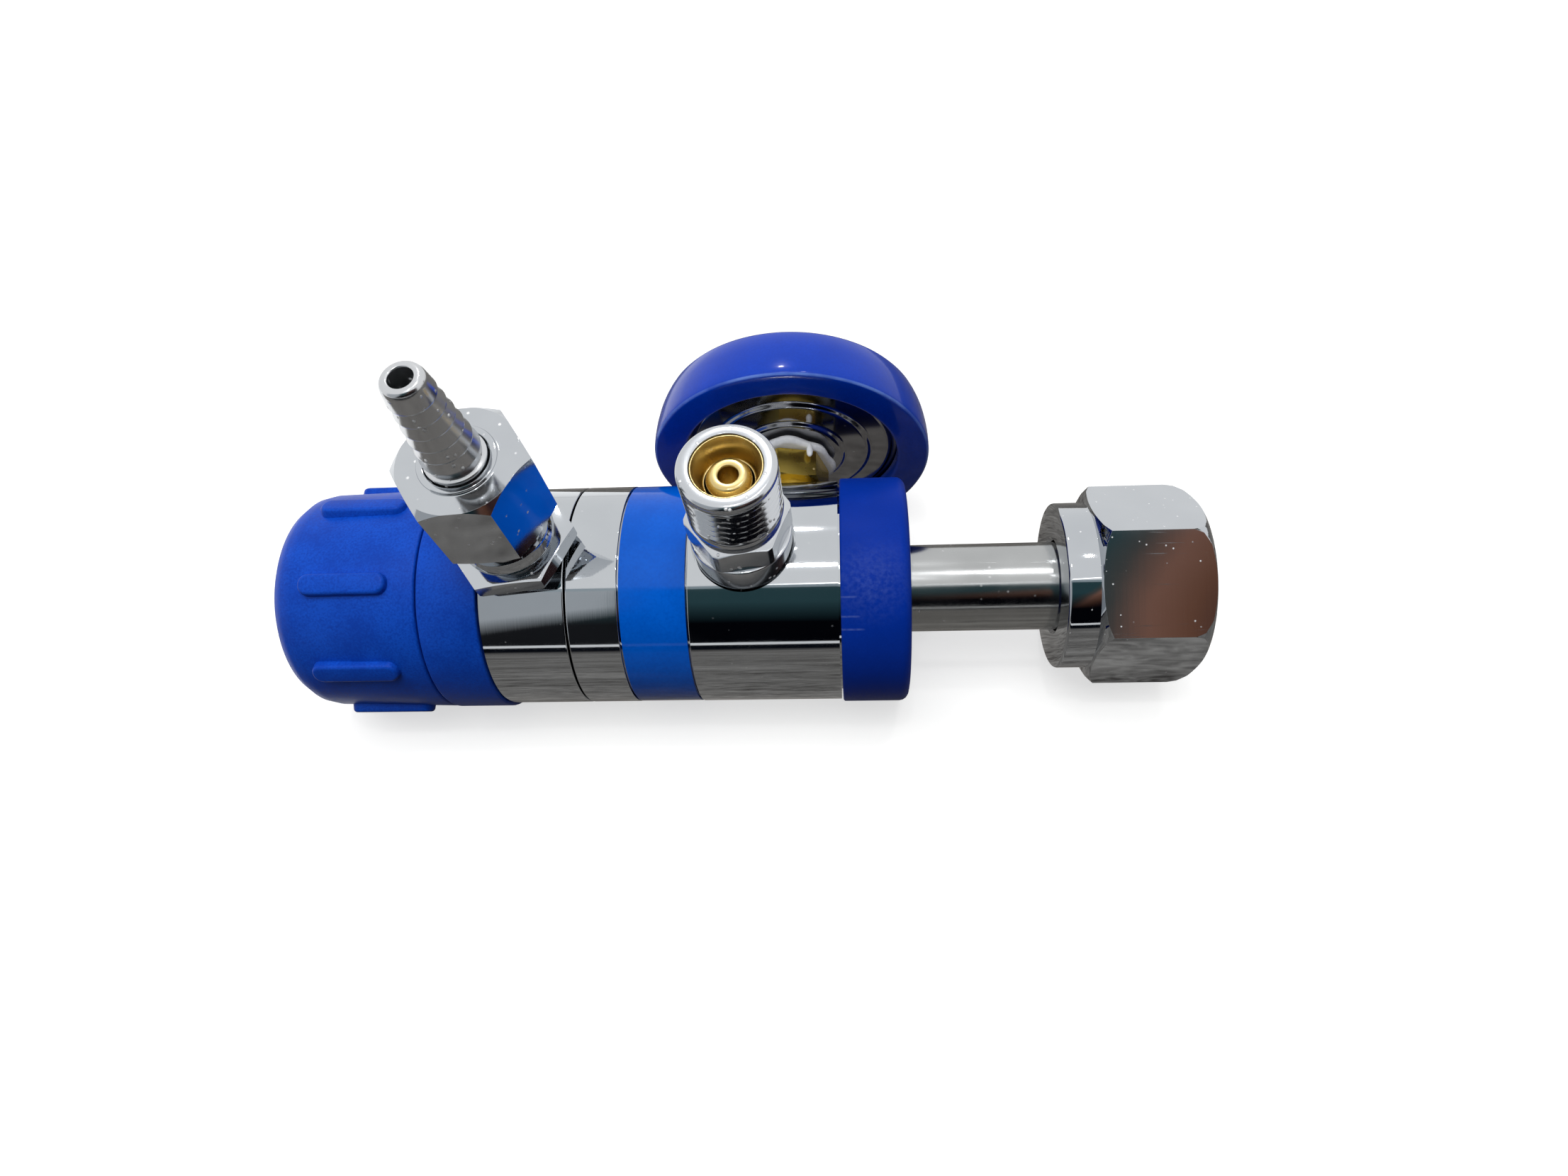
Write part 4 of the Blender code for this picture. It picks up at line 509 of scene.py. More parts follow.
# The bumper: a moulded rubber ring, pressed over the body's inlet end, where it takes the knocks. Its
# crown is rubbed pale in one patch, and three short scuffs cross its rim.
BUMPER_END = 102.9
BUMPER_RADIUS = 18.9
BUMPER_INSIDE = BUMPER_SEAT + PIECE_GAP
RUBBED_PLACE = Vector((22.0, -21.0, 35.2)) * MM
SCUFF_START = 17.6 * MM
# Satin rubber: a deep blue, hardly glossy, with a fine moulded grain of 0.3 mm.
rubber_look = moulded("satin_rubber_moulded_blue", "#042f98", "#032c90", roughness=0.42, grain=0.3,
                      depth=0.003, gloss=0.07)
tree = rubber_look.node_tree
where = add(tree, "TexCoord").outputs["Object"]
from_axis = {0: where, 1: Vector((0, BARREL_Y, BARREL_Z)) * MM}
from_axis = add(tree, "VectorMath", from_axis, operation="SUBTRACT").outputs[0]
parts = add(tree, "SeparateXYZ", {"Vector": from_axis}).outputs
round_to = add(tree, "Math", {0: parts["Y"], 1: parts["Z"]}, operation="ARCTAN2").outputs[0]
near = add(tree, "VectorMath", {0: where, 1: RUBBED_PLACE}, operation="DISTANCE")
patch = add(tree, "MapRange", {"Value": near.outputs["Value"], 1: 0.0075, 2: 0.0015})
flecks = add(tree, "TexNoise", {"Vector": where, "Scale": 1500.0, "Detail": 3.0}).outputs["Fac"]
fleck = add(tree, "MapRange", {"Value": flecks, 1: 0.36, 2: 0.76, 3: 0.0, 4: 0.11})
pale = add(tree, "Math", {0: patch.outputs[0], 1: fleck.outputs[0]}, operation="MULTIPLY").outputs[0]
for turn, length in ((-0.70, 2.4), (-0.86, 2.8), (-0.97, 3.4)):
    off = add(tree, "Math", {0: round_to, 1: turn}, operation="SUBTRACT")
    off = add(tree, "Math", {0: off.outputs[0]}, operation="ABSOLUTE")
    line = add(tree, "MapRange", {"Value": off.outputs[0], 1: 0.012, 2: 0.004, 3: 0.0, 4: 0.34})
    along = {"Value": parts["X"], 1: SCUFF_START + length * MM, 2: SCUFF_START + 0.7 * length * MM}
    along = add(tree, "MapRange", along)
    scuff = add(tree, "Math", {0: line.outputs[0], 1: along.outputs[0]}, operation="MULTIPLY")
    scuff = add(tree, "Math", {0: scuff.outputs[0], 1: flecks}, operation="MULTIPLY")
    pale = add(tree, "Math", {0: scuff.outputs[0], 1: pale}, operation="MAXIMUM").outputs[0]
wear_and_highlight = {0: pale, 6: tree.nodes["colour"].outputs[2], 7: linear("#7f95cf")}
wear_and_highlight = add(tree, "Mix", wear_and_highlight, data_type="RGBA")
tree.links.new(wear_and_highlight.outputs[2], tree.nodes["Principled BSDF"].inputs["Base Color"])
bumper = turned([
    (BUMPER_START, BUMPER_INSIDE), (BUMPER_START, BUMPER_RADIUS, 0.35), (BUMPER_END, BUMPER_RADIUS, 1.5),
    (BUMPER_END, 8.6, 0.3), (101.1, 8.6), (101.1, BUMPER_INSIDE),
], BARREL_STEPS)
piece("bumper_rubber", bumper, barrel_frame, rubber_look, "bumper_ring")


# The flow knob: a moulded nylon cup with a rounded end and eight long obround grip bars, and a plain
# moulded skirt behind it, whose edge against the chrome is a little ragged.
KNOB_RIM = 25.4
KNOB_RIM_RADIUS = 18.9
KNOB_END_RADIUS = 18.3
KNOB_CORNER = 5.2
KNOB_CLOCK = 29.4
BAR_COUNT = 8
BAR_MIDDLE = 13.95
BAR_LENGTH = 14.7
BAR_WIDTH = 3.9
BAR_HEIGHT = 3.2
BAR_CORNER = 1.6
BAR_EDGE = 0.55
SKIRT_START = 25.7
SKIRT_END = 35.3
SKIRT_RADIUS = 19.0


def joined(*shapes):
    """One bmesh with all the shapes, which are used up."""
    whole = shapes[0]
    for shape in shapes[1:]:
        spare = bpy.data.meshes.new("spare")
        shape.to_mesh(spare)
        shape.free()
        whole.from_mesh(spare)
        bpy.data.meshes.remove(spare)
    return whole


# Satin nylon: a lively blue, with the fine spark-eroded grain of its mould, which blurs the light.
knob_look = moulded("satin_nylon_moulded_blue", "#0c4abb", "#053ba4", roughness=0.40, grain=0.35, depth=0.007,
                    gloss=0.13)
shapes = [turned([
    (0, 3.8, 0.3), (0, KNOB_END_RADIUS, KNOB_CORNER), (KNOB_RIM, KNOB_RIM_RADIUS, 0.45), (KNOB_RIM, 16.5),
    (4.5, 16.5), (3.0, 13.5), (3.0, 6.0), (14.5, 6.0), (14.5, 3.3), (5.4, 3.3), (5.4, 1.4),
    (2.8, 1.4), (2.8, 3.8),
], BARREL_STEPS)]
middle = Vector((0, KNOB_END_RADIUS, BAR_MIDDLE)) * MM
for index in range(BAR_COUNT):
    bar = bmesh.new()
    size = Matrix.Diagonal((BAR_WIDTH * MM, BAR_HEIGHT * MM, BAR_LENGTH * MM, 1))
    bmesh.ops.create_cube(bar, size=1.0, matrix=Matrix.Translation(middle) @ size)
    crown = [point for point in bar.verts if point.co.y > middle.y]
    bmesh.ops.scale(bar, verts=crown, vec=(0.86, 1, 0.96), space=Matrix.Translation(-middle))
    posts = [edge for edge in bar.edges if abs(edge.verts[0].co.y - edge.verts[1].co.y) > 1 * MM]
    bmesh.ops.bevel(bar, geom=posts, offset=BAR_CORNER * MM, offset_type="OFFSET", segments=8,
                    profile=0.5, affect="EDGES", material=-1)
    top = max(bar.faces, key=lambda face: face.calc_center_median().y)
    bmesh.ops.bevel(bar, geom=top.edges[:], offset=BAR_EDGE * MM, offset_type="OFFSET", segments=4,
                    profile=0.5, affect="EDGES", material=-1)
    angle = math.radians(KNOB_CLOCK + 360 / BAR_COUNT * index)
    bmesh.ops.rotate(bar, verts=bar.verts, cent=(0, 0, 0), matrix=Matrix.Rotation(angle, 3, "Z"))
    shapes.append(bar)
piece("flow_knob_nylon", joined(*shapes), barrel_frame, knob_look, "flow_knob", body="knob")
skirt = turned([
    (SKIRT_START, 17.4), (SKIRT_START, SKIRT_RADIUS, 0.35), (SKIRT_END, SKIRT_RADIUS, 0.3), (SKIRT_END, 17.4),
], BARREL_STEPS)
for point in skirt.verts:
    if point.co.z > (SKIRT_END - 0.3) * MM and point.co.xy.length > (SKIRT_RADIUS - 1) * MM:
        point.co.z -= 0.22 * MM * max(0.0, noise.noise(point.co * 900.0))
piece("knob_skirt_nylon", skirt, barrel_frame, knob_look, "knob_skirt")


# The inlet stem: a turned steel tube with a shoulder that the nut draws up, and a rounded nose that
# seals in the cylinder's valve. It is pressed into the body and isn't plated.
STEM_START = 92.1
STEM_END = 143.2
STEM_RADIUS = 7.35
NOSE_RADIUS = 7.2
SHOULDER_START = 134.6
SHOULDER_END = 137.8
SHOULDER_RADIUS = 11.0
# Turned steel: greyer and duller than the chrome, with fine rings, hairline scratches and a few whitish
# specks of painted glint.
stem_look = metal("turned_steel_handled", "#b7b9b9", "#a6a8a8", roughness=0.17, place=barrel_frame,
                  mark=0.12, depth=0.0022, scratches=0.5, specks=0.3)
stem = turned([
    (STEM_START, 2.0), (STEM_START, STEM_RADIUS), (SHOULDER_START, STEM_RADIUS),
    (SHOULDER_START, SHOULDER_RADIUS, 0.3), (SHOULDER_END, SHOULDER_RADIUS, 0.3), (SHOULDER_END, NOSE_RADIUS),
    (STEM_END, NOSE_RADIUS, 2.4), (STEM_END, 3.4), (139.2, 3.4), (139.2, 2.0),
], 128)
piece("inlet_stem_steel", stem, barrel_frame, stem_look, "inlet_stem")


# The inlet nut: a chromed brass hexagon with a round collar, which turns loosely on the stem. It is
# milled from the round and threaded inside, and its flats are nicked by spanners.
NUT_END = 149.7
NUT_COLLAR = 13.8
NUT_CORNER = 16.51
NUT_FLATS = 28.6
NUT_CLOCK = 36.9
NUT_THREAD_START = 134.8
NUT_THREAD_END = 148.6
NUT_THREAD_RADIUS = 11.55
NUT_PITCH = 1.814
NUT_THREAD_DEPTH = 0.9


def mill_hexagon(shape, across, turn):
    """Cut six flats on a turned shape. A flat's normal stands 30 degrees past the turn."""
    for side in range(6):
        angle = math.radians(turn + 30 + 60 * side)
        out = Vector((math.cos(angle), math.sin(angle), 0))
        cut = bmesh.ops.bisect_plane(shape, geom=shape.verts[:] + shape.edges[:] + shape.faces[:],
                                     plane_co=out * across / 2 * MM, plane_no=out,
                                     clear_outer=True, dist=1e-8)
        rim = [item for item in cut["geom_cut"] if isinstance(item, bmesh.types.BMEdge)]
        bmesh.ops.holes_fill(shape, edges=rim, sides=0)
    bmesh.ops.recalc_face_normals(shape, faces=shape.faces)


def thread_wall(start, end, radius, pitch):
    """Outline points close enough together to take a thread."""
    count = round((end - start) / pitch * 8)
    return [(start + (end - start) * step / count, radius) for step in range(count + 1)]


def run_thread(shape, start, end, radius, pitch, depth):
    """Press a helical thread into the wall at a radius, between two distances, all in mm."""
    for point in shape.verts:
        distance = point.co.z / MM
        reach = point.co.xy.length / MM
        if start <= distance <= end and abs(reach - radius) < 0.02:
            phase = (distance / pitch + math.atan2(point.co.y, point.co.x) / math.tau) % 1.0
            fade = min(1.0, (distance - start) / pitch, (end - distance) / pitch)
            groove = depth * fade * (1 - abs(2 * phase - 1))
            point.co.x *= (reach - groove) / reach
            point.co.y *= (reach - groove) / reach


# Bright chrome over milled brass: flat mirrors with faint cutter marks, hairlines and small nicks, drawn as
# whitish specks that are also painted glints.
nut_chrome = metal("bright_chrome_milled_nicks_and_glints", "#c3c7cb", "#b7bbc0", roughness=0.045, place=barrel_frame,
                   mark=0.5, depth=0.0008, scratches=0.35, specks=0.8, crowd=0.16, speck=0.14)
wall = thread_wall(NUT_THREAD_START, NUT_THREAD_END, NUT_THREAD_RADIUS, NUT_PITCH)
nut = turned([
    (127.8, 7.65), (127.3, 8.15), (127.3, NUT_COLLAR, 0.5), (132.2, NUT_COLLAR), (132.35, 14.2),
    (133.0, 15.6), (133.8, NUT_CORNER), (NUT_END, NUT_CORNER, 3.7), (NUT_END, 12.3), (149.0, 11.6),
    *wall[::-1], (134.3, 11.6), (134.3, 7.65),
], 180)
mill_hexagon(nut, NUT_FLATS, NUT_CLOCK)
run_thread(nut, NUT_THREAD_START, NUT_THREAD_END, NUT_THREAD_RADIUS, NUT_PITCH, -NUT_THREAD_DEPTH)
piece("inlet_nut_chrome", nut, barrel_frame, nut_chrome, "inlet_nut", body="nut", edge=0.16)


# The threaded outlet: a chromed fitting with a round collar, a narrow hexagon and a fine thread, screwed
# into the body. Inside it sits a brass funnel with a sprung brass poppet, bored through, in its middle.
OUTLET_TIP = 39.2
OUTLET_BORE = 5.2
OUTLET_COLLAR = 7.85
OUTLET_FLATS = 14.29
OUTLET_CLOCK = 9.0
THREAD_START = 28.4
WALL_END = 38.4
THREAD_END = 38.7
THREAD_RADIUS = 7.14
PITCH = 1.411
THREAD_DEPTH = 0.62
# Bright chrome, softened by many fine whitish specks of painted glint along the thread and the rim, each on a
# small real bead that catches the lamps.
fitting_chrome = metal("bright_chrome_outlet_fitting", "#cbced2", "#bfc3c8", roughness=0.16,
                       place=outlet_frame, mark=0.18, depth=0.0012, specks=0.9, crowd=0.8, speck=0.22,
                       bead=0.07)
wall = thread_wall(THREAD_START, WALL_END, THREAD_RADIUS, PITCH)
outlet = turned([
    (14.3, 2.4), (14.3, 5.0), (16.97, 5.0), (16.97, OUTLET_COLLAR), (21.9, OUTLET_COLLAR, 0.35), (21.9, 6.3),
    (28.0, 6.3, 0.2), (28.3, THREAD_RADIUS), *wall[1:-1],
    (THREAD_END, THREAD_RADIUS, 0.25), (OUTLET_TIP, 6.6, 0.35), (OUTLET_TIP, OUTLET_BORE, 0.12),
    (30.2, OUTLET_BORE), (30.2, 3.6), (20.2, 3.6), (20.2, 2.4),
], 120)
run_thread(outlet, THREAD_START, THREAD_END, THREAD_RADIUS, PITCH, THREAD_DEPTH)
hexagon = turned([(21.95, 6.0), (21.95, 7.3), (22.2, 8.0), (26.4, 8.0), (26.9, 7.05), (26.9, 6.0)], 120)
mill_hexagon(hexagon, OUTLET_FLATS, OUTLET_CLOCK)
piece("outlet_chrome", joined(outlet, hexagon), outlet_frame, fitting_chrome,
      "outlet_body", edge=0.07)
# Bright turned brass: pale gold, with tool rings that spread the light round the cone, and a few whitish
# specks of painted glint.
brass_look = metal("bright_brass_turned", "#d9c48c", "#c8b178", roughness=0.25, place=outlet_frame,
                   mark=0.25, depth=0.003, specks=0.25)
FUNNEL_RADIUS = 5.12
FUNNEL_THROAT = 3.6
funnel = turned([
    (30.5, FUNNEL_THROAT), (30.5, FUNNEL_RADIUS), (39.0, FUNNEL_RADIUS, 0.08), (39.0, 4.9, 0.08),
    (36.4, 4.2, 0.3), (35.2, 3.8, 0.2), (35.2, FUNNEL_THROAT),
], 120)
piece("outlet_funnel_brass", funnel, outlet_frame, brass_look, "outlet_insert")
POPPET_RADIUS = 3.3
POPPET_BORE = 1.4
poppet = turned([
    (30.0, 0), (30.0, POPPET_RADIUS), (35.8, POPPET_RADIUS, 0.3), (37.0, 2.75, 0.45),
    (37.0, POPPET_BORE, 0.3), (31.5, POPPET_BORE), (31.5, 0),
], 96)
piece("outlet_poppet_brass", poppet, outlet_frame, brass_look, "outlet_poppet",
      body="poppet")


# The barbed outlet: a chromed base with a hexagon flange, screwed into the flow head, and a union nut
# that clamps the hose nipple to it. All three are turned and milled from brass and plated.
PASSAGE_RADIUS = 1.6
BASE_NECK = 6.6
FLANGE_FLATS = 17.5
FLANGE_CLOCK = 7.0
UNION_BACK = 29.0
UNION_FRONT = 43.0
UNION_CORNER = 9.81
UNION_FLATS = 17.0
UNION_CLOCK = 3.9
# Bright chrome, a little hazy, with whitish specks of painted glint scattered over its flats.
barb_chrome = metal("bright_chrome_barbed_fitting", "#c6cace", "#b8bcc1", roughness=0.08, place=barb_frame,
                    mark=0.2, depth=0.0014, specks=0.9, crowd=0.55, speck=0.22)
base = turned([
    (12.2, PASSAGE_RADIUS), (12.2, 4.8), (22.5, 4.8), (22.8, 7.4, 0.3), (24.3, BASE_NECK, 0.4),
    (28.7, BASE_NECK, 0.2), (28.7, 5.5), (36.9, 5.5), (36.9, PASSAGE_RADIUS),
], 96)
flange = turned([(19.6, 4.4), (19.6, 9.9), (19.9, 10.1), (22.1, 10.1), (22.7, 8.45), (22.7, 4.4)], 120)
mill_hexagon(flange, FLANGE_FLATS, FLANGE_CLOCK)
piece("barb_base_chrome", joined(base, flange), barb_frame, barb_chrome, "barb_base",
      edge=0.1)
union = turned([
    (UNION_BACK, 5.8), (UNION_BACK, 8.2), (29.8, UNION_CORNER), (41.9, UNION_CORNER), (UNION_FRONT, 8.6),
    (UNION_FRONT, 5.6, 0.2), (43.4, 5.5, 0.15), (43.4, 4.6, 0.15), (40.1, 4.6), (40.1, 5.8),
], 120)
mill_hexagon(union, UNION_FLATS, UNION_CLOCK)
piece("barb_nut_chrome", union, barb_frame, barb_chrome, "barb_nut", edge=0.12)


# The hose nipple: a tapered, ringed tube that a soft hose is pushed over. Its shoulder is held in the
# union nut, and each of its six rings rises to a crest that grips the hose.
BARB_TIP = 60.7
FIRST_RING = 45.2
RING_COUNT = 6
RING_RISE = 0.35
RING_DEPTH = 0.52
FIRST_CREST = 4.3
TAPER = 1.35
ring_step = (BARB_TIP - FIRST_RING) / (RING_COUNT + 0.6)
outline = [
    (36.9, PASSAGE_RADIUS), (36.9, 5.5), (39.8, 5.5), (39.8, 4.4), (43.9, 4.4, 0.15), (44.1, 3.85, 0.1),
]
for index in range(RING_COUNT):
    low = FIRST_RING + ring_step * index
    crest = FIRST_CREST - TAPER * (low - FIRST_RING) / (BARB_TIP - FIRST_RING)
    outline += [(low, crest - RING_DEPTH, 0.12), (low + RING_RISE, crest, 0.28)]
outline += [(BARB_TIP - 0.7, 2.9, 0.3), (BARB_TIP, 2.5, 0.4), (BARB_TIP, PASSAGE_RADIUS, 0.2)]
# Satin chrome: softer than the nut's, with tiny beads of plating that break the light on the rings, each a
# whitish speck of painted glint.
nipple_chrome = metal("satin_chrome_ringed_nipple", "#d3d5d7", "#c6c8cb", roughness=0.22, place=barb_frame,
                      mark=0.3, depth=0.002, specks=1.0, crowd=1.0, speck=0.22, bead=0.08)
piece("hose_barb_chrome", turned(outline, 96), barb_frame, nipple_chrome, "hose_barb")


# The gauge's case and boot: a pressed steel case whose back is stepped in three rings, in a rubber
# boot that is stretched over it and guards its edge.
GAUGE_STEPS = 192
CASE_BACK = 27.5
CASE_RADIUS = 21.95
CASE_FRONT = 34.7
CASE_WALL = 0.8
CASE_STEP = 0.7
CASE_HOLE = 4.3
BOOT_BACK = 26.5
BOOT_RADIUS = 25.05
BOOT_OPENING = 19.4
BOOT_FRONT = 37.7
# Polished pressed steel: a darker mirror than chrome, with a few hairlines and a few whitish specks of
# painted glint.
case_look = metal("polished_steel_pressed", "#a2a2a4", "#8c8c8f", roughness=0.10, place=gauge_frame,
                  mark=0.4, depth=0.0012, scratches=0.2, specks=0.3)
outside = [(CASE_BACK, CASE_HOLE)]
inside = [(CASE_BACK + CASE_WALL, CASE_HOLE)]
level_at = CASE_BACK
for radius in (9.3, 13.9, 17.9):
    outside += [(level_at, radius, 0.35), (level_at + CASE_STEP, radius + CASE_STEP, 0.3)]
    inside += [(level_at + CASE_WALL, radius - 0.3), (level_at + CASE_WALL + CASE_STEP, radius + 0.4)]
    level_at += CASE_STEP
outside += [(level_at, CASE_RADIUS, 0.4), (CASE_FRONT, CASE_RADIUS)]
inside += [(level_at + CASE_WALL, CASE_RADIUS - CASE_WALL), (CASE_FRONT, CASE_RADIUS - CASE_WALL)]
piece("gauge_case_steel", turned(outside + inside[::-1], GAUGE_STEPS), gauge_frame, case_look,
      "gauge_case")

# Gloss rubber: a deep clear blue with a thin shine. Its rear edge carries a fine pale line of painted
# highlight, which is broken at random along its length.
boot_look = moulded("gloss_rubber_moulded_blue", "#023cb6", "#0138ac", roughness=0.20, grain=0.4, depth=0.001,
                    coat=0.30, gloss=0.1)
tree = boot_look.node_tree
where = add(tree, "TexCoord").outputs["Object"]
at = {"Vector": where, "Location": gauge_frame.to_translation(), "Rotation": gauge_frame.to_euler()}
local = add(tree, "Mapping", at, vector_type="TEXTURE").outputs[0]
flat = add(tree, "VectorMath", {0: local, 1: (1.0, 1.0, 0.0)}, operation="MULTIPLY")
reach = add(tree, "VectorMath", {0: flat.outputs[0]}, operation="LENGTH")
height = add(tree, "SeparateXYZ", {"Vector": local}).outputs["Z"]
corner = add(tree, "Math", {0: reach.outputs["Value"], 1: height}, operation="SUBTRACT")
# Painted highlight: a fine pale line round the boot's rear edge, broken by noise.
rim = add(tree, "MapRange", {"Value": corner.outputs[0], 1: -0.00196, 2: -0.00189})
highlight_noise = add(tree, "TexNoise", {"Vector": where, "Scale": 170.0, "Detail": 2.0})
highlight_strength = add(tree, "MapRange", {"Value": highlight_noise.outputs["Fac"], 1: 0.35, 2: 0.6, 3: 0.15, 4: 0.6})
rim = add(tree, "Math", {0: rim.outputs[0], 1: highlight_strength.outputs[0]}, operation="MULTIPLY")
wear_and_highlight = {0: rim.outputs[0], 6: tree.nodes["colour"].outputs[2], 7: linear("#7fa4ee")}
wear_and_highlight = add(tree, "Mix", wear_and_highlight, data_type="RGBA")
tree.links.new(wear_and_highlight.outputs[2], tree.nodes["Principled BSDF"].inputs["Base Color"])
boot = turned([
    (BOOT_BACK, BOOT_OPENING, 0.6), (BOOT_BACK, BOOT_RADIUS, 0.7), (29.8, BOOT_RADIUS, 1.6),
    (34.6, 24.3, 2.0), (BOOT_FRONT, 22.8, 1.6), (BOOT_FRONT, 20.25, 0.3), (36.7, 20.25), (36.7, 22.0),
    (35.0, 22.25), (29.3, 22.25), (29.3, BOOT_OPENING, 0.3),
], GAUGE_STEPS)
piece("gauge_boot_rubber", boot, gauge_frame, boot_look, "gauge_boot")


# The gauge's stem: a turned brass stub with a hexagon, screwed into the body. White thread sealant was
# squeezed out round the top of the hexagon, and one drip of it ran down a flat before it dried.
STEM_FLATS = 12.0
STEM_CLOCK = 12.9
DRIP_PLACE = Vector((7.3, 0, 24.6)) * MM
DRIP_TURN = math.radians(-60)
DRIP_RADIUS = 0.55 * MM
DRIP_STRETCH = 2.6
# Bright machined brass: yellower than the funnel, with tool marks, light scratches and a few whitish specks
# of painted glint.
gauge_brass = metal("bright_brass_gauge_stem", "#e2c765", "#cfb14e", roughness=0.28, place=gauge_frame,
                    mark=0.3, depth=0.003, scratches=0.2, specks=0.25)
stem = turned([(11.3, 0.8), (11.3, 4.6), (20.0, 4.6), (20.0, 4.0), (30.5, 4.0), (30.5, 0.8)], 96)
hexagon = turned([(19.8, 3.8), (19.8, 6.2), (20.2, 6.93), (25.0, 6.93), (25.1, 6.6), (25.1, 3.8)], 96)
mill_hexagon(hexagon, STEM_FLATS, STEM_CLOCK)
piece("gauge_stem_brass", joined(stem, hexagon), gauge_frame, gauge_brass, "gauge_stem",
      edge=0.08)
# Dried sealant: chalky white, smooth and slightly uneven.
sealant_look = moulded("white_thread_sealant_dried", "#f1f3f5", "#e4e7ea", roughness=0.38, grain=0.6,
                       depth=0.01)
sealant = turned([(25.3, 4.3), (25.3, 7.1, 0.3), (25.9, 7.85, 0.4), (26.9, 7.3, 0.4), (26.9, 4.3)], 96)
for point in sealant.verts:
    if point.co.xy.length > 5 * MM:
        angle = math.atan2(point.co.y, point.co.x)
        waves = 0.05 * math.sin(3 * angle + 0.6) + 0.035 * math.sin(7 * angle)
        swell = 1 + waves + 0.02 * noise.noise(point.co * 700.0)
        point.co.x *= swell
        point.co.y *= swell
drip = bmesh.new()
bmesh.ops.create_uvsphere(drip, u_segments=20, v_segments=12, radius=DRIP_RADIUS)
bmesh.ops.scale(drip, verts=drip.verts, vec=(1, 1, DRIP_STRETCH))
for point in drip.verts:
    point.co.xy *= 1.0 - 0.25 * point.co.z / (DRIP_RADIUS * DRIP_STRETCH)
drip.transform(Matrix.Rotation(DRIP_TURN, 4, "Z") @ Matrix.Translation(DRIP_PLACE))
piece("thread_sealant_paste", joined(sealant, drip), gauge_frame, sealant_look,
      "thread_sealant")


# The gauge's face: a clear lens, held by the boot's lip, over an enamelled dial with printed ticks and
# plain numbers. The numbers stand upright when the gauge is read from its front.
DIAL_FRONT = 33.1
DIAL_RADIUS = 20.85
LENS_BACK = 35.0
LENS_FRONT = 36.4
ZERO_ANGLE = 45
SCALE_SWEEP = 270
SCALE_TOP = 25
LONG_TICK = (2.4, 0.5, 17.4)
SHORT_TICK = (1.4, 0.25, 17.9)
TICK_THICKNESS = 0.04
TICK_LIFT = 0.03
NUMBER_RADIUS = 14.0
NUMBER_SIZE = 3.4
# Clear acrylic: polished, with a breath of haze.
lens_look, tree = new_material("clear_acrylic_polished")
shader = tree.nodes["Principled BSDF"]
shader.inputs["IOR"].default_value = 1.49
shader.inputs["Transmission Weight"].default_value = 1.0
where = add(tree, "TexCoord").outputs["Object"]
haze = add(tree, "TexNoise", {"Vector": where, "Scale": 300.0}).outputs["Fac"]
rough = add(tree, "MapRange", {"Value": haze, 3: 0.01, 4: 0.03})
tree.links.new(rough.outputs[0], shader.inputs["Roughness"])
clear = add(tree, "Mix", {0: haze, 6: linear("#f7fafb"), 7: linear("#ffffff")}, data_type="RGBA")
tree.links.new(clear.outputs[2], shader.inputs["Base Color"])
lens = turned([
    (LENS_BACK, 0), (LENS_BACK, CASE_RADIUS), (LENS_FRONT, CASE_RADIUS), (LENS_FRONT, 0),
], GAUGE_STEPS)
piece("gauge_lens_clear", lens, gauge_frame, lens_look, "gauge_lens")
# Matt white enamel for the plate, and black ink, thin and even, for its marks.
dial_look = moulded("white_enamel_matt", "#f0f0ec", "#eaeae6", roughness=0.45, grain=0.3, depth=0.001)
ink_look = moulded("black_printing_ink", "#121214", "#0b0b0d", roughness=0.4, grain=0.2, depth=0.001)
dial = turned([(32.6, 0.9), (32.6, DIAL_RADIUS), (DIAL_FRONT, DIAL_RADIUS), (DIAL_FRONT, 0.9)], 128)
piece("gauge_dial_enamel", dial, gauge_frame, dial_look, "gauge_dial")
marks = bmesh.new()
for value in range(SCALE_TOP + 1):
    length, width, radius = LONG_TICK if value % 5 == 0 else SHORT_TICK
    angle = math.radians(ZERO_ANGLE - SCALE_SWEEP / SCALE_TOP * value)
    size = Matrix.Diagonal((length * MM, width * MM, TICK_THICKNESS * MM, 1))
    at = Matrix.Rotation(angle, 4, "Z") @ Matrix.Translation((radius * MM, 0, (DIAL_FRONT + TICK_LIFT) * MM))
    bmesh.ops.create_cube(marks, size=1.0, matrix=at @ size)
for value in range(0, SCALE_TOP + 1, 5):
    angle = math.radians(ZERO_ANGLE - SCALE_SWEEP / SCALE_TOP * value)
    curve = bpy.data.curves.new("number", "FONT")
    curve.body = str(value)
    curve.size = NUMBER_SIZE * MM
    curve.align_x = "CENTER"
    curve.align_y = "CENTER"
    curve.extrude = TICK_THICKNESS / 2 * MM
    made = bpy.data.objects.new("number", curve)
    bpy.context.scene.collection.objects.link(made)
    bpy.context.view_layer.update()
    mesh = bpy.data.meshes.new_from_object(made.evaluated_get(bpy.context.evaluated_depsgraph_get()))
    bpy.data.objects.remove(made)
    at = Vector((math.cos(angle), math.sin(angle), 0)) * NUMBER_RADIUS
    at.z = DIAL_FRONT + TICK_LIFT
    mesh.transform(Matrix.Translation(at * MM) @ Matrix.Rotation(math.pi, 4, "Z"))
    marks.from_mesh(mesh)
    bpy.data.meshes.remove(mesh)
marks.transform(gauge_frame)
made = placed("gauge_dial_marks", marks, ink_look)
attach(made, "regulator")


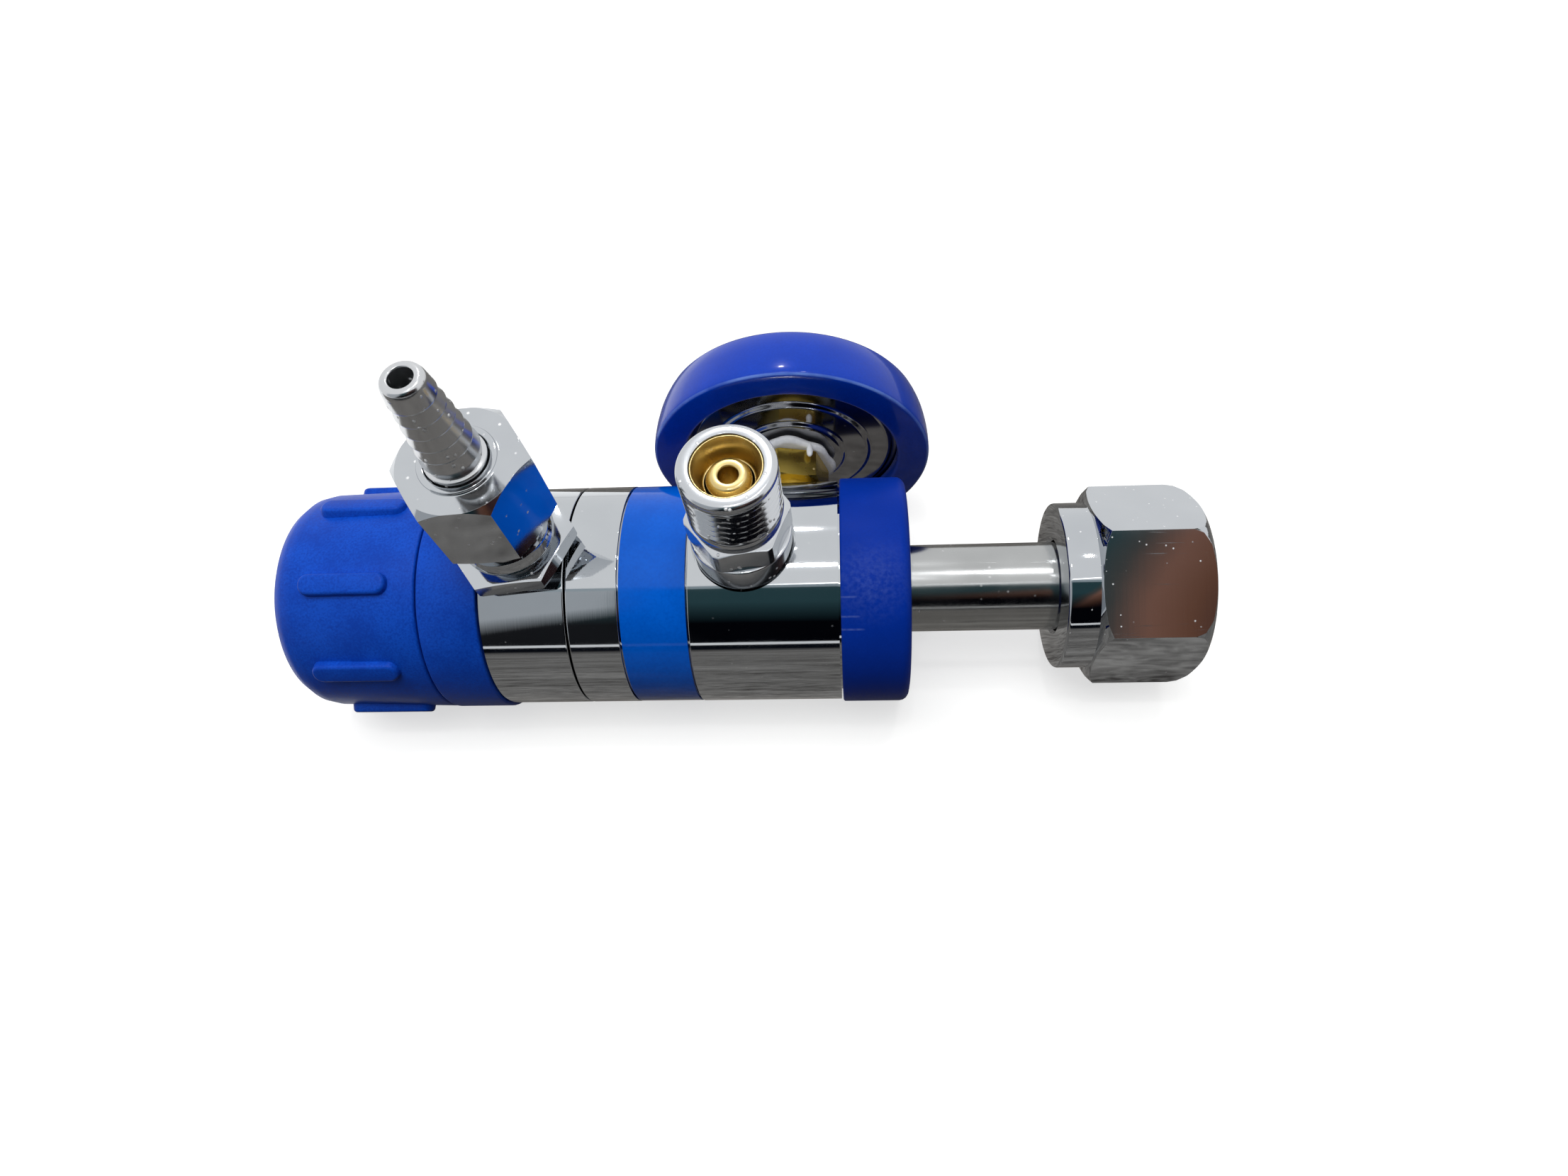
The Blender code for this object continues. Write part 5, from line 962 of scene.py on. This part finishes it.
# The pieces inside keep their CAD shapes: the valve gear and the gauge's movement, the seals, the detent
# and the filter. Each is given the finish of its own making.
# Machined brass, warmer than the polished pieces, with plain tool marks.
inner_brass = metal("brass_machined_inside", "#cfa045", "#b98a35", roughness=0.28, place=barrel_frame,
                    mark=0.3, depth=0.004, scratches=0.2)
# Zinc plating: pale grey and slightly dull. Ground steel: a small bright mirror.
zinc_look = metal("zinc_plated_steel_screw", "#bfc0bd", "#a5a6a2", roughness=0.3, place=barrel_frame,
                  mark=0.3, depth=0.003, scratches=0.3)
ball_look = metal("ground_steel_ball", "#c4c4c6", "#b5b5b8", roughness=0.08, place=barrel_frame,
                  mark=0.5, depth=0.0005)
# Sintered bronze: brown and rough, made of pressed grains a quarter of a millimetre across.
bronze_look = metal("sintered_bronze_filter", "#a9794a", "#6d4a2b", roughness=0.6, place=barrel_frame,
                    mark=0.25, depth=0.03)
# Nitrile rubber is dull black, nylon a warm white, and the pointer's enamel a flat black.
seal_look = moulded("black_nitrile_rubber", "#1b1b1c", "#121213", roughness=0.5, grain=0.2, depth=0.004)
nylon_look = moulded("white_nylon_moulded", "#e6e5df", "#dbdad3", roughness=0.45, grain=0.3, depth=0.004)
pointer_look = moulded("black_enamel_matt", "#161617", "#101011", roughness=0.42, grain=0.3, depth=0.001)
for look, names in (
    (inner_brass, ("knob_spindle", "flow_disc", "spring_plate", "piston", "inlet_valve", "gauge_movement",
                   "bourdon_tube")),
    (zinc_look, ("knob_screw",)),
    (ball_look, ("detent_ball",)),
    (bronze_look, ("inlet_filter",)),
    (seal_look, ("spindle_seal", "piston_seal")),
    (nylon_look, ("detent_ring",)),
    (pointer_look, ("gauge_pointer",)),
):
    for name in names:
        mesh = nodes[name].data
        mesh.materials.clear()
        mesh.materials.append(look)


# The four wire springs, wound from drawn steel, are listed with their joints. Each is a merged copy of its
# CAD coil in the same place, and has a fixed end, which is a point in mm.
# Drawn wire: dark grey and silky, with fine lines from the die.
wire_look = metal("spring_steel_drawn_wire", "#9a9a9c", "#828285", roughness=0.3, place=barrel_frame,
                  mark=0.2, depth=0.003, scratches=0.3)
along_barrel = Vector((1, 0, 0))
into_outlet = outlet_frame.to_3x3() @ Vector((0, 0, -1))
poppet_seat = outlet_frame @ Vector((0, 0, 20.5 * MM)) / MM
for name, joint, axis, travel, fixed in (
    ("regulating_spring", "piston_slide", along_barrel, 0.6, Vector((-17.54, BARREL_Y, BARREL_Z))),
    ("valve_spring", "valve_slide", along_barrel, 0.6, Vector((16.93, BARREL_Y, BARREL_Z))),
    ("detent_spring", "ball_slide", along_barrel, 0.5, Vector((-40.16, BARREL_Y, BARREL_Z))),
    ("outlet_poppet_spring", "poppet_slide", into_outlet, 1.5, poppet_seat),
):
    coil = bmesh.new()
    coil.from_mesh(nodes[name].data)
    bmesh.ops.remove_doubles(coil, verts=coil.verts, dist=0.001 * MM)
    wire = piece(name + "_wire", coil, Matrix.Identity(4), wire_look, name)
    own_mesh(wire)
